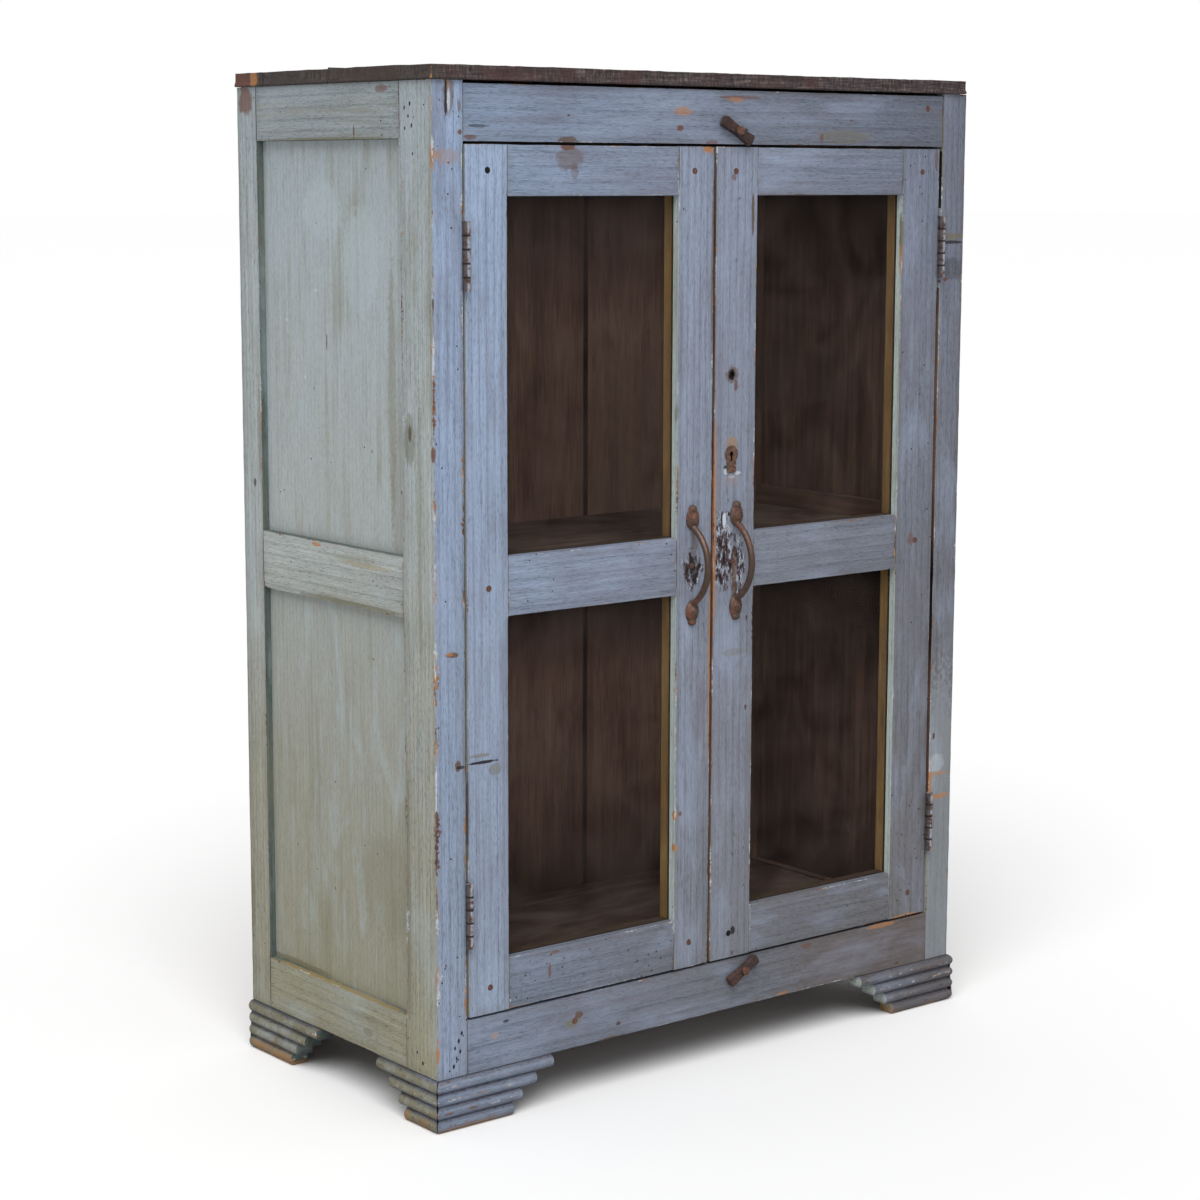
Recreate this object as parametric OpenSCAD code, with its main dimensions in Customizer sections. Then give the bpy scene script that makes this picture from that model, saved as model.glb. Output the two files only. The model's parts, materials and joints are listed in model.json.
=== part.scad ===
// Glazed two-door cupboard on reeded bracket feet, framed from solid wood.
// Millimetres, +Z up. The origin is on the floor, under the middle of the whole object's box.
// Inside the modules, x runs from the left side, y from the front face and z from the
// underside of the case. in_case() then sets that corner down in the object's frame.

/* [Case] */
// Width of the case across the posts
body_w = 810; // [660:1:1000]
// Depth of the case from the front of the posts to the back boards
body_d = 394; // [320:1:500]
// Length of the corner posts
body_h = 1100; // [900:1:1350]
// Width of each post on the front and on the back
post_w = 41; // [36:1:55]
// Width of the front posts on the side
front_post_d = 61; // [50:1:75]
// Width of the rear posts on the side
rear_post_d = 43; // [40:1:60]
// Thickness of the side rails and the rear rails
frame_t = 27; // [22:1:33]
// Height of the top rails
top_rail_h = 62.5; // [50:0.5:80]
// How far the front top rail lies under the ends of the posts
top_rail_drop = 2.5; // [0.5:0.5:4]
// Height of the bottom rails
bottom_rail_h = 63; // [50:1:80]
// Height of the middle rails on the sides
side_mid_rail_h = 69; // [50:1:80]
// Height of the middle rails' lower edge, on the sides and on the doors
mid_rail_z = 516; // [380:1:640]

/* [Joinery] */
// Thickness of the tenons
tenon_t = 8; // [6:1:9]
// Length of the tenons in the posts
tenon_l = 22; // [15:1:22]
// Distance from a rail's edge to its tenon
tenon_inset = 10; // [9:1:14]
// Length of the tenons in the door stiles
door_tenon_l = 35; // [25:1:40]
// Diameter of the wooden pegs
peg_d = 7; // [5:0.5:9]
// Depth of the peg holes
peg_l = 20; // [18:1:22]
// Distance from a door's outer edge to its pegs
peg_inset = 30; // [24:1:34]

/* [Panels and boards] */
// Thickness of the side panels
panel_t = 8; // [6:1:10]
// How far the side panels lie behind the side rails' faces
panel_recess = 9; // [6:1:12]
// Depth of the grooves that hold the side panels
groove_d = 8; // [6:1:9]
// Play of a panel in its grooves, on each edge
panel_play = 1; // [0.5:0.5:2]
// Thickness of the back boards
back_t = 12; // [9:1:16]
// Width of a whole back board
back_board_w = 135; // [90:1:180]
// Width of the first back board, which is cut narrow
first_back_board_w = 65; // [40:1:85]
// Shrinkage gap between the back boards
back_gap = 0.4; // [0.3:0.1:1.5]
// Thickness of the top boards
top_t = 17; // [14:1:24]
// Width of the front top board
front_top_board_w = 200; // [120:1:220]
// Width of the rear top board
rear_top_board_w = 61; // [40:1:90]
// How far the top reaches past the front
top_over_front = 4; // [0:1:12]
// How far the top reaches past the left side
top_over_left = 3; // [0:1:6]
// How far the top stops short of the right side
top_short_right = 4; // [0:1:8]
// Shrinkage gap between the top boards
board_gap = 1; // [0.5:0.5:3]
// Thickness of the floor board and of the shelf
shelf_t = 18; // [14:1:22]
// Height of the floor board's upper face
floor_top_z = 60; // [50:1:63]
// Height of the shelf's upper face
shelf_top_z = 560; // [420:1:680]
// Play of the floor board and the shelf on every side
shelf_play = 1; // [0.5:0.5:3]
// Width and height of the cleats under them
cleat = 20; // [14:1:24]

/* [Doors] */
// Thickness of the doors
door_t = 26; // [21.5:0.5:32]
// Gap over and under the doors and at the left door's hinges
door_gap = 2; // [2:0.5:3]
// Play between the doors' backs and the batten that they shut against
stop_play = 1; // [0.5:0.5:2]
// Gap at the right door's hinges, where the door has shrunk
right_gap = 4; // [3:0.5:5]
// Gap between the two doors
meeting_gap = 3; // [2.5:0.5:5]
// How far the gap between the doors lies to the right of the middle
seam_offset = -6.5; // [-15:0.5:15]
// Width of the left door's hinge stile
left_hinge_stile_w = 57; // [50:0.5:75]
// Width of the left door's meeting stile
left_meeting_stile_w = 53.5; // [50:0.5:75]
// Width of the right door's hinge stile
right_hinge_stile_w = 63.5; // [50:0.5:75]
// Width of the right door's meeting stile
right_meeting_stile_w = 64; // [50:0.5:75]
// Height of the doors' top rails
door_top_rail_h = 56; // [45:1:70]
// Height of the doors' middle rails
door_mid_rail_h = 68; // [50:1:80]
// Height of the doors' bottom rails
door_bottom_rail_h = 61; // [50:1:80]
// Depth from a door's face to its glass
reveal = 10; // [6:1:12]
// Thickness of the glass
glass_t = 3; // [2:0.5:4]
// Width of the rebate that holds the glass
rebate = 8; // [6:1:9]
// Play of the glass in its rebate, on each edge
glass_play = 1; // [0.5:0.5:2]
// Gap at the ends of the upright beads
bead_gap = 0.3; // [0.2:0.1:1]

/* [Hinges] */
// Height of a hinge
hinge_h = 75; // [60:1:90]
// Distance from a door's end to its hinge
hinge_inset = 82; // [60:1:110]
// Radius of the hinge knuckles
knuckle_r = 4; // [3:0.5:5]
// Radius of the hinge pins
hinge_pin_r = 2; // [1.5:0.25:2.5]
// Radial clearance of a pin in the moving knuckles
hinge_fit = 0.05; // [0.02:0.01:0.1]
// Gap between the knuckles' ends
knuckle_gap = 0.3; // [0.2:0.1:0.5]
// Thickness of the hinge leaves
leaf_t = 1.6; // [1:0.1:2]
// Width of a leaf in the wood
leaf_w = 20; // [16:1:22]
// Length of the hinge screws
hinge_screw_l = 14; // [10:1:18]
// Radius of the hinge screws
hinge_screw_r = 1.5; // [1:0.25:2]

/* [Pulls] */
// Distance between the middles of a pull's two plates
pull_centres = 109; // [90:1:130]
// Distance between the ends of the bow, where it meets the plates
bow_chord = 92; // [76:1:94]
// How far the middle of the bow's rod stands out from the door
bow_stand = 28; // [22:1:36]
// Radius of the bow's rod
rod_r = 5; // [3.5:0.5:6]
// Radius of the wide part of a plate
plate_r = 10; // [8:0.5:13]
// Radius of the round tip of a plate
plate_tip_r = 5; // [3:0.5:7]
// Distance from the middle of a plate to the middle of its tip
plate_tip = 12; // [9:1:16]
// Thickness of the plates
plate_t = 3; // [2:0.5:4]
// Radius of the pulls' screws
pull_screw_r = 2; // [1.5:0.25:3]
// Radius of the pulls' domed screw heads
pull_head_r = 6; // [5:0.5:7]
// Height of the pulls' middles
pull_z = 550; // [450:1:640]
// Distance from the gap between the doors to the left pull
left_pull_x = 31.5; // [26:0.5:36]
// Distance from the gap between the doors to the right pull
right_pull_x = 36.5; // [26:0.5:40]

/* [Turn buttons] */
// Length of a turn button
button_l = 50; // [40:1:56]
// Width of a turn button at its ends
button_w = 14; // [10:1:18]
// How much narrower the waist is than the ends, on each side
button_waist = 1.5; // [0.5:0.5:2.5]
// Thickness of a turn button
button_t = 8; // [5:0.5:10]
// Gap between a button and the wood
button_gap = 1; // [0.5:0.5:2]
// Distance from the doors' edge to a button's pivot
button_offset = 18; // [16:0.5:22]
// Tilt of the turned-off buttons away from upright
button_tilt = 61; // [61:1:90]
// Distance from the gap between the doors to the upper button's pivot
top_button_x = 28; // [20:0.5:45]
// Distance from the gap between the doors to the lower button's pivot
bottom_button_x = 51; // [20:0.5:60]
// Radius of the buttons' pivot screws
pivot_r = 2.5; // [2:0.25:3]
// Radial clearance of the pivot screws in the buttons
pivot_fit = 0.05; // [0.02:0.01:0.1]
// Depth of the pivot screws in the rails
pivot_depth = 16; // [10:1:22]

/* [Lock] */
// Height of the keyhole
lock_z = 677; // [600:1:760]
// Distance from the gap between the doors to the keyhole
lock_x = 28; // [24:0.5:36]
// Length, height and thickness of the lock's case
lock_case_size = [42, 60, 13];
// Height and thickness of the lock's bolt
bolt_size = [20, 6];
// Length of the lock's bolt
bolt_l = 34; // [28:1:36]
// Play of the bolt in its case, on each side
bolt_play = 0.3; // [0.2:0.1:0.5]
// Radius of the keyhole's round part
keyhole_r = 2.7; // [2.2:0.1:3.2]
// Height of the old screw hole over the lock
old_hole_z = 770; // [740:1:820]

/* [Feet] */
// Height of the feet
foot_h = 60; // [45:1:80]
// Thickness of the feet's boards
foot_t = 20; // [16:1:24]
// How far the flats between the reeds stand out from the case
foot_proud = 1; // [0:0.5:3]
// How far each reed bulges
reed_bulge = 5; // [3:0.5:6]
// Length of the lowest reed on the front
front_foot_l = 103; // [80:1:140]
// Length of the lowest reed on the sides of the front feet
side_foot_l = 59; // [45:1:80]
// Length of the lowest reed on the sides of the rear feet
rear_side_foot_l = 95; // [60:1:110]
// How much longer the highest reed is than the lowest
foot_flare = 57; // [30:1:70]
// Gap at the glued joints between the pieces of a foot
foot_joint = 0.2; // [0.1:0.1:0.5]
// Width of the glued corner blocks
foot_block = 38; // [25:1:40]
// Height of the blocks' undersides over the floor
foot_block_lift = 5; // [2:1:15]

/* [Hidden] */
$fn = 48;
reed_count = 4;
reed_h = foot_h / reed_count;
peg_r = peg_d / 2;
// Overall box and the place of the case in it
pull_proud = bow_stand + rod_r;
front_y = (pull_proud - body_d) / 2;
// Heights
front_top_rail_top = body_h - top_rail_drop;
door_z0 = bottom_rail_h + door_gap;
door_z1 = body_h - top_rail_h - top_rail_drop - door_gap;
door_h = door_z1 - door_z0;
side_mid_rail_top = mid_rail_z + side_mid_rail_h;
// Thickness of the front rails: the doors and their play before the batten
front_rail_t = door_t + stop_play;
// Door sizes by hand: 0 is the left door, 1 the right
hinge_gap = [door_gap, right_gap];
door_x0 = [for (s = [0, 1]) post_w + hinge_gap[s]];
door_x1 = [
  body_w / 2 + seam_offset - meeting_gap / 2,
  body_w / 2 - seam_offset - meeting_gap / 2
];
door_w = [for (s = [0, 1]) door_x1[s] - door_x0[s]];
hinge_stile_w = [left_hinge_stile_w, right_hinge_stile_w];
meeting_stile_w = [left_meeting_stile_w, right_meeting_stile_w];
pane_x0 = [for (s = [0, 1]) door_x0[s] + hinge_stile_w[s]];
pane_x1 = [for (s = [0, 1]) door_x1[s] - meeting_stile_w[s]];
pane_z = [
  [door_z0 + door_bottom_rail_h, mid_rail_z],
  [mid_rail_z + door_mid_rail_h, door_z1 - door_top_rail_h]
];
door_rail_z = [door_z0, mid_rail_z, door_z1 - door_top_rail_h];
door_rail_h = [door_bottom_rail_h, door_mid_rail_h, door_top_rail_h];
pull_x = [
  door_x1[0] + meeting_gap / 2 - left_pull_x,
  door_x1[1] + meeting_gap / 2 - right_pull_x
];
// Hinges
hinge_z = [door_z0 + hinge_inset, door_z1 - hinge_inset - hinge_h];
axis_y = -knuckle_r - knuckle_gap;
knuckles = 5;
knuckle_pitch = hinge_h / knuckles;
screw_step = hinge_h / 3;
screw_head_r = hinge_screw_r * 2.1;
// Hardware
seam_x = body_w / 2 + seam_offset;
dome_h = 4;
pull_screw_l = 18;
pull_screw_z = pull_centres / 2 + 3;
button_z = [door_z0 - button_offset, door_z1 + button_offset];
button_x = [seam_x + bottom_button_x, seam_x + top_button_x];
button_corner_r = 3;
pivot_head_h = 3;
pivot_head_play = 0.2;
pivot_head_r = pivot_r * 2;
lock_right_x = seam_x + lock_x;
lock_case_x0 = seam_x + meeting_gap / 2 + 4;
lock_wall = 2;
escutcheon_t = 1.2;
escutcheon_r = 10;
escutcheon_h = 22;
old_hole_r = 3.5;
old_hole_depth = 12;
// Interior
inner_x = frame_t + shelf_play;
shelf_front_y = door_t + 8;
floor_front_y = front_rail_t + shelf_play;
rear_rail_y = body_d - back_t - frame_t;
shelf_back_y = [rear_rail_y - shelf_play, body_d - back_t - shelf_play];
stop_size = [18, 40];
stop_overlap = 13;
stop_inset = 25;

// ---- placing ----

// Sets the case's front left lower corner in the object's frame.
module in_case() {
  translate([-body_w / 2, front_y, foot_h]) children();
}

// Hand 0 is the left side, hand 1 is its mirror image on the right side.
module by_hand(s) {
  if (s == 0) in_case() children();
  else in_case() translate([body_w, 0, 0]) mirror([1, 0, 0]) children();
}

module paint() { color([0.56, 0.61, 0.68]) children(); }
module bare_wood() { color([0.38, 0.28, 0.19]) children(); }
module old_top_wood() { color([0.24, 0.20, 0.18]) children(); }
module rusty_iron() { color([0.36, 0.24, 0.18]) children(); }

module box(lo, hi) {
  translate(lo) cube(hi - lo);
}

// A round hole or pin that runs from front to back.
module along_y(x, y0, y1, z, r) {
  translate([x, y0, z]) rotate([-90, 0, 0]) cylinder(h = y1 - y0, r = r);
}

// ---- the case's tenons, which the posts also have as mortises ----

module x_tenon(x, y, z, h, t) {
  cy = y + (t - tenon_t) / 2;
  box([x, cy, z + tenon_inset], [x + tenon_l, cy + tenon_t, z + h - tenon_inset]);
}

module y_tenon(y, z, h) {
  cx = (frame_t - tenon_t) / 2;
  box([cx, y, z + tenon_inset], [cx + tenon_t, y + tenon_l, z + h - tenon_inset]);
}

// A rail across the front or the back.
module x_rail(y, z, h, t) {
  box([post_w, y, z], [body_w - post_w, y + t, z + h]);
  x_tenon(post_w - tenon_l, y, z, h, t);
  x_tenon(body_w - post_w, y, z, h, t);
}

// A rail along the left side, with grooves for the panels above and below it.
module y_rail(z, h, groove_low, groove_high) {
  difference() {
    box([0, front_post_d, z], [frame_t, body_d - rear_post_d, z + h]);
    if (groove_low) panel_groove_strip(z, z + groove_d);
    if (groove_high) panel_groove_strip(z + h - groove_d, z + h);
  }
  y_tenon(front_post_d - tenon_l, z, h);
  y_tenon(body_d - rear_post_d, z, h);
}

module panel_groove_strip(z0, z1) {
  box([panel_recess, front_post_d, z0], [panel_recess + panel_t, body_d - rear_post_d, z1]);
}

// A side panel's space, or the panel itself when play is taken off.
module panel_solid(z0, z1, play) {
  d = groove_d - play;
  box([panel_recess, front_post_d - d, z0 - d],
      [panel_recess + panel_t, body_d - rear_post_d + d, z1 + d]);
}

module side_panel_spaces() {
  panel_solid(bottom_rail_h, mid_rail_z, 0);
  panel_solid(side_mid_rail_top, body_h - top_rail_h, 0);
}

// ---- posts ----

module front_post_solid() {
  difference() {
    box([0, 0, 0], [post_w, front_post_d, body_h]);
    x_tenon(post_w - tenon_l, 0, 0, bottom_rail_h, front_rail_t);
    x_tenon(post_w - tenon_l, 0, front_top_rail_top - top_rail_h, top_rail_h, front_rail_t);
    y_tenon(front_post_d - tenon_l, 0, bottom_rail_h);
    y_tenon(front_post_d - tenon_l, mid_rail_z, side_mid_rail_h);
    y_tenon(front_post_d - tenon_l, body_h - top_rail_h, top_rail_h);
    side_panel_spaces();
    for (z = hinge_z) post_leaf_seat(z);
    for (z = hinge_z) post_leaf_screws(z);
  }
}

module rear_post_solid() {
  difference() {
    box([0, body_d - rear_post_d, 0], [post_w, body_d, body_h]);
    x_tenon(post_w - tenon_l, rear_rail_y, 0, bottom_rail_h, frame_t);
    x_tenon(post_w - tenon_l, rear_rail_y, body_h - top_rail_h, top_rail_h, frame_t);
    y_tenon(body_d - rear_post_d, 0, bottom_rail_h);
    y_tenon(body_d - rear_post_d, mid_rail_z, side_mid_rail_h);
    y_tenon(body_d - rear_post_d, body_h - top_rail_h, top_rail_h);
    side_panel_spaces();
  }
}

module front_left_post() { paint() by_hand(0) front_post_solid(); }
module front_right_post() { paint() by_hand(1) front_post_solid(); }
module rear_left_post() { paint() by_hand(0) rear_post_solid(); }
module rear_right_post() { paint() by_hand(1) rear_post_solid(); }

// ---- rails ----

// Plug holes: the front rails' old holes are filled with wooden plugs.
plugs = [
  [body_w - 68, body_h - 18.5],
  [194, 32.5]
];

module plug_set() {
  for (p = plugs) along_y(p[0], 0, peg_l / 2, p[1], peg_r);
}

module pivot_hole(i) {
  along_y(button_x[i], 0, pivot_depth, button_z[i], pivot_r);
}

module front_top_rail() {
  paint() in_case() difference() {
    x_rail(0, front_top_rail_top - top_rail_h, top_rail_h, front_rail_t);
    plug_set();
    pivot_hole(1);
  }
}

module front_bottom_rail() {
  paint() in_case() difference() {
    x_rail(0, 0, bottom_rail_h, front_rail_t);
    plug_set();
    pivot_hole(0);
  }
}

module rear_rail(z, h) { bare_wood() in_case() x_rail(rear_rail_y, z, h, frame_t); }
module rear_top_rail() { rear_rail(body_h - top_rail_h, top_rail_h); }
module rear_bottom_rail() { rear_rail(0, bottom_rail_h); }
module rail_plugs() { bare_wood() in_case() plug_set(); }

module side_top_rail(s) { paint() by_hand(s) y_rail(body_h - top_rail_h, top_rail_h, true, false); }
module side_mid_rail(s) { paint() by_hand(s) y_rail(mid_rail_z, side_mid_rail_h, true, true); }
module side_bottom_rail(s) { paint() by_hand(s) y_rail(0, bottom_rail_h, false, true); }

module side_upper_panel(s) {
  paint() by_hand(s) panel_solid(side_mid_rail_top, body_h - top_rail_h, panel_play);
}

module side_lower_panel(s) {
  paint() by_hand(s) panel_solid(bottom_rail_h, mid_rail_z, panel_play);
}

// ---- boards ----

// Plan of one back board: chamfered front arrises, a tongue on its right, a groove on its left.
module back_board_plan(x0, x1, tongue, groove) {
  v = 3;
  tongue_l = 5;
  tongue_w = back_t / 3;
  x2 = tongue ? x1 - back_gap : x1;
  difference() {
    union() {
      polygon([[x0, v], [x0 + v, 0], [x2 - v, 0], [x2, v], [x2, back_t], [x0, back_t]]);
      if (tongue) translate([x2, tongue_w]) square([tongue_l, tongue_w]);
    }
    if (groove) translate([x0, tongue_w - back_gap / 2]) square([tongue_l, tongue_w + back_gap]);
  }
}

back_run = body_w - 2 * post_w;
back_joints = concat(
  [0],
  [for (x = first_back_board_w; x < back_run - 30; x = x + back_board_w) x],
  [back_run]
);

module back_boards() {
  last = len(back_joints) - 2;
  bare_wood() in_case() translate([post_w, body_d - back_t, 0])
    for (i = [0 : last]) linear_extrude(body_h)
      back_board_plan(back_joints[i], back_joints[i + 1], i < last, i > 0);
}

module top_board(y0, y1) {
  box([-top_over_left, y0, body_h], [body_w - top_short_right, y1, body_h + top_t]);
}

module top_boards() {
  y1 = front_top_board_w - top_over_front;
  y2 = body_d - rear_top_board_w;
  old_top_wood() in_case() {
    top_board(-top_over_front, y1);
    top_board(y1 + board_gap, y2 - board_gap);
    top_board(y2, body_d);
  }
}

// A board inside the case, notched round the four posts.
module inner_board(z_top, y0, y1) {
  difference() {
    box([inner_x, y0, z_top - shelf_t], [body_w - inner_x, y1, z_top]);
    for (s = [0, 1]) translate([s * body_w, 0, 0]) mirror([s, 0, 0]) {
      box([0, 0, 0], [post_w + shelf_play, front_post_d + shelf_play, body_h]);
      box([0, body_d - rear_post_d - shelf_play, 0], [post_w + shelf_play, body_d, body_h]);
    }
  }
}

module floor_board() { bare_wood() in_case() inner_board(floor_top_z, floor_front_y, shelf_back_y[0]); }
module shelf() { bare_wood() in_case() inner_board(shelf_top_z, shelf_front_y, shelf_back_y[1]); }

module cleats() {
  for (s = [0, 1], z = [floor_top_z, shelf_top_z])
    bare_wood() by_hand(s)
      box([frame_t, front_post_d, z - shelf_t - cleat],
          [frame_t + cleat, body_d - rear_post_d, z - shelf_t]);
}

// The doors shut against a batten on the back of the front top rail.
module door_stop() {
  z0 = door_z1 - stop_overlap;
  x0 = post_w + stop_inset;
  bare_wood() in_case()
    box([x0, front_rail_t, z0], [body_w - x0, front_rail_t + stop_size[0], z0 + stop_size[1]]);
}

// ---- feet ----

function reed_l(i, lowest) = lowest + foot_flare * pow(i / (reed_count - 1), 1.4);

// Section across one reed: x is the depth, y the height.
module reed_section(plain) {
  r = (pow(reed_h / 2, 2) + pow(reed_bulge, 2)) / (2 * reed_bulge);
  translate([-foot_proud, 0]) square([foot_t, reed_h]);
  if (!plain) intersection() {
    translate([r - foot_proud - reed_bulge, reed_h / 2]) circle(r = r);
    translate([-foot_proud - reed_bulge, 0]) square([foot_t, reed_h]);
  }
}

// The four reeds of one foot piece, run along x on the front.
module reeded_piece(lowest, start, plain = false) {
  for (i = [0 : reed_count - 1])
    translate([start, 0, -foot_h + i * reed_h]) rotate([90, 0, 90])
      linear_extrude(reed_l(i, lowest) - start) reed_section(plain);
}

// The half of the corner, seen from above, that the mitre leaves to the other piece.
module mitre(front) {
  n = foot_proud + reed_bulge + 1;
  f = foot_t + 1;
  g = foot_joint / 2;
  translate([0, 0, -foot_h - 1]) linear_extrude(foot_h + 2)
    polygon(front ? [[g - n, -n], [f + g, f], [-n, f], [-n, -n]]
                  : [[-n, g - n], [f, f + g], [f, -n], [-n, -n]]);
}

module side_turn() {
  mirror([1, -1, 0]) children();
}

module front_foot_solid() {
  start = -foot_proud - reed_bulge;
  difference() {
    reeded_piece(front_foot_l, start);
    mitre(true);
  }
  difference() {
    side_turn() reeded_piece(side_foot_l, start);
    mitre(false);
  }
}

// A rear foot has a reeded side piece and a plain piece behind it, inside its thickness.
module rear_foot_solid() {
  translate([0, body_d, 0]) mirror([0, 1, 0]) {
    side_turn() reeded_piece(rear_side_foot_l, 0);
    translate([0, foot_proud, 0])
      reeded_piece(front_foot_l, foot_t - foot_proud + foot_joint, true);
  }
}

module foot_blocks() {
  b0 = foot_t + foot_proud;
  z0 = foot_block_lift - foot_h;
  for (s = [0, 1]) bare_wood() by_hand(s) {
    box([b0, b0, z0], [b0 + foot_block, b0 + foot_block, 0]);
    box([b0, body_d - b0 - foot_block, z0], [b0 + foot_block, body_d - b0, 0]);
  }
}

module front_left_foot() { paint() by_hand(0) front_foot_solid(); }
module front_right_foot() { paint() by_hand(1) front_foot_solid(); }
module rear_left_foot() { paint() by_hand(0) rear_foot_solid(); }
module rear_right_foot() { paint() by_hand(1) rear_foot_solid(); }

// ---- hinges, in the left hand's place, s giving the gap ----

function hinge_x(s) = post_w + hinge_gap[s] / 2;

module knuckle_set(s, z, first, r, grow) {
  for (i = [first : 2 : knuckles - 1])
    translate([hinge_x(s), axis_y, z + i * knuckle_pitch - grow])
      cylinder(h = knuckle_pitch - knuckle_gap + 2 * grow, r = r);
}

// One leaf: a plate on the plane x = side of the wood, with its own knuckles.
module leaf(s, z, x0, first, bore_r) {
  difference() {
    union() {
      box([x0, axis_y, z], [x0 + leaf_t, leaf_w, z + hinge_h - knuckle_gap]);
      knuckle_set(s, z, first, knuckle_r, 0);
    }
    knuckle_set(s, z, 1 - first, knuckle_r + knuckle_gap, knuckle_gap);
    translate([hinge_x(s), axis_y, z - 1]) cylinder(h = hinge_h + 2, r = bore_r);
  }
}

module leaf_seat(x0, z) {
  box([x0, 0, z], [x0 + leaf_t, leaf_w, z + hinge_h - knuckle_gap]);
}

module post_leaf_seat(z) { leaf_seat(post_w - leaf_t, z); }
module door_leaf_seat(s, z) { leaf_seat(door_x0[s], z); }

// Three countersunk screws that run along x into the wood, away from face x.
module leaf_screws(x, z, away) {
  for (i = [0 : 2])
    translate([x, leaf_w * (i == 1 ? 0.65 : 0.4), z + (i + 0.5) * screw_step - knuckle_gap])
      rotate([0, away * 90, 0]) {
        cylinder(h = leaf_t, r1 = screw_head_r, r2 = hinge_screw_r);
        cylinder(h = hinge_screw_l, r = hinge_screw_r);
      }
}

module post_leaf_screws(z) { leaf_screws(post_w, z, -1); }
module door_leaf_screws(s, z) { leaf_screws(door_x0[s], z, 1); }

module post_hinge_leaves() {
  for (s = [0, 1], z = hinge_z) rusty_iron() by_hand(s) difference() {
    leaf(s, z, post_w - leaf_t, 0, hinge_pin_r);
    post_leaf_screws(z);
  }
}

module door_hinge_leaves(s) {
  for (z = hinge_z) rusty_iron() by_hand(s) difference() {
    leaf(s, z, door_x0[s], 1, hinge_pin_r + hinge_fit);
    door_leaf_screws(s, z);
  }
}

module hinge_pins() {
  for (s = [0, 1], z = hinge_z) rusty_iron() by_hand(s)
    translate([hinge_x(s), axis_y, z]) cylinder(h = hinge_h - knuckle_gap, r = hinge_pin_r);
}

// The screws that stay on the case: the hinges' and the turn buttons' pivots.
module carcass_screws() {
  for (s = [0, 1], z = hinge_z) rusty_iron() by_hand(s) post_leaf_screws(z);
  for (i = [0, 1]) rusty_iron() in_case() pivot_screw(i);
}

module pivot_screw(i) {
  face = -button_gap - button_t - pivot_head_play;
  along_y(button_x[i], face, pivot_depth, button_z[i], pivot_r);
  along_y(button_x[i], face - pivot_head_h, face, button_z[i], pivot_head_r);
}

// ---- doors ----

module pane_rebates(s) {
  for (p = pane_z)
    box([pane_x0[s] - rebate, reveal, p[0] - rebate], [pane_x1[s] + rebate, door_t, p[1] + rebate]);
}

module door_tenon(x, z, h) {
  cy = (door_t - tenon_t) / 2;
  box([x, cy, z + tenon_inset], [x + door_tenon_l, cy + tenon_t, z + h - tenon_inset]);
}

module door_tenons(s) {
  for (i = [0 : 2]) {
    door_tenon(pane_x0[s] - door_tenon_l, door_rail_z[i], door_rail_h[i]);
    door_tenon(pane_x1[s], door_rail_z[i], door_rail_h[i]);
  }
}

module peg_set(s) {
  for (i = [0 : 2], x = [door_x0[s] + peg_inset, door_x1[s] - peg_inset])
    along_y(x, 0, peg_l, door_rail_z[i] + door_rail_h[i] / 2, peg_r);
}

module hinge_stile(s) {
  paint() by_hand(s) difference() {
    box([door_x0[s], 0, door_z0], [pane_x0[s], door_t, door_z1]);
    pane_rebates(s);
    door_tenons(s);
    peg_set(s);
    for (z = hinge_z) door_leaf_seat(s, z);
    for (z = hinge_z) door_leaf_screws(s, z);
  }
}

module meeting_stile(s) {
  paint() by_hand(s) difference() {
    box([pane_x1[s], 0, door_z0], [door_x1[s], door_t, door_z1]);
    pane_rebates(s);
    door_tenons(s);
    peg_set(s);
    pull_screws(s, false);
    if (s == 1) keyhole(0, door_t);
    if (s == 1) along_y(door_x1[1] + meeting_gap / 2 - lock_x, 0, old_hole_depth, old_hole_z, old_hole_r);
  }
}

module door_rail(s, i) {
  paint() by_hand(s) difference() {
    union() {
      box([pane_x0[s], 0, door_rail_z[i]], [pane_x1[s], door_t, door_rail_z[i] + door_rail_h[i]]);
      door_tenon(pane_x0[s] - door_tenon_l, door_rail_z[i], door_rail_h[i]);
      door_tenon(pane_x1[s], door_rail_z[i], door_rail_h[i]);
    }
    pane_rebates(s);
    peg_set(s);
  }
}

module door_glass(s) {
  e = rebate - glass_play;
  for (p = pane_z) color([0.6, 0.65, 0.65, 0.4]) by_hand(s)
    box([pane_x0[s] - e, reveal, p[0] - e], [pane_x1[s] + e, reveal + glass_t, p[1] + e]);
}

// Four strips behind each pane: uprights between the two long strips.
module door_beads(s) {
  y0 = reveal + glass_t;
  for (p = pane_z) bare_wood() by_hand(s) {
    box([pane_x0[s] - rebate, y0, p[0] - rebate], [pane_x1[s] + rebate, door_t, p[0]]);
    box([pane_x0[s] - rebate, y0, p[1]], [pane_x1[s] + rebate, door_t, p[1] + rebate]);
    box([pane_x0[s] - rebate, y0, p[0] + bead_gap], [pane_x0[s], door_t, p[1] - bead_gap]);
    box([pane_x1[s], y0, p[0] + bead_gap], [pane_x1[s] + rebate, door_t, p[1] - bead_gap]);
  }
}

module door_pegs(s) { bare_wood() by_hand(s) peg_set(s); }

// ---- pulls ----

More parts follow.
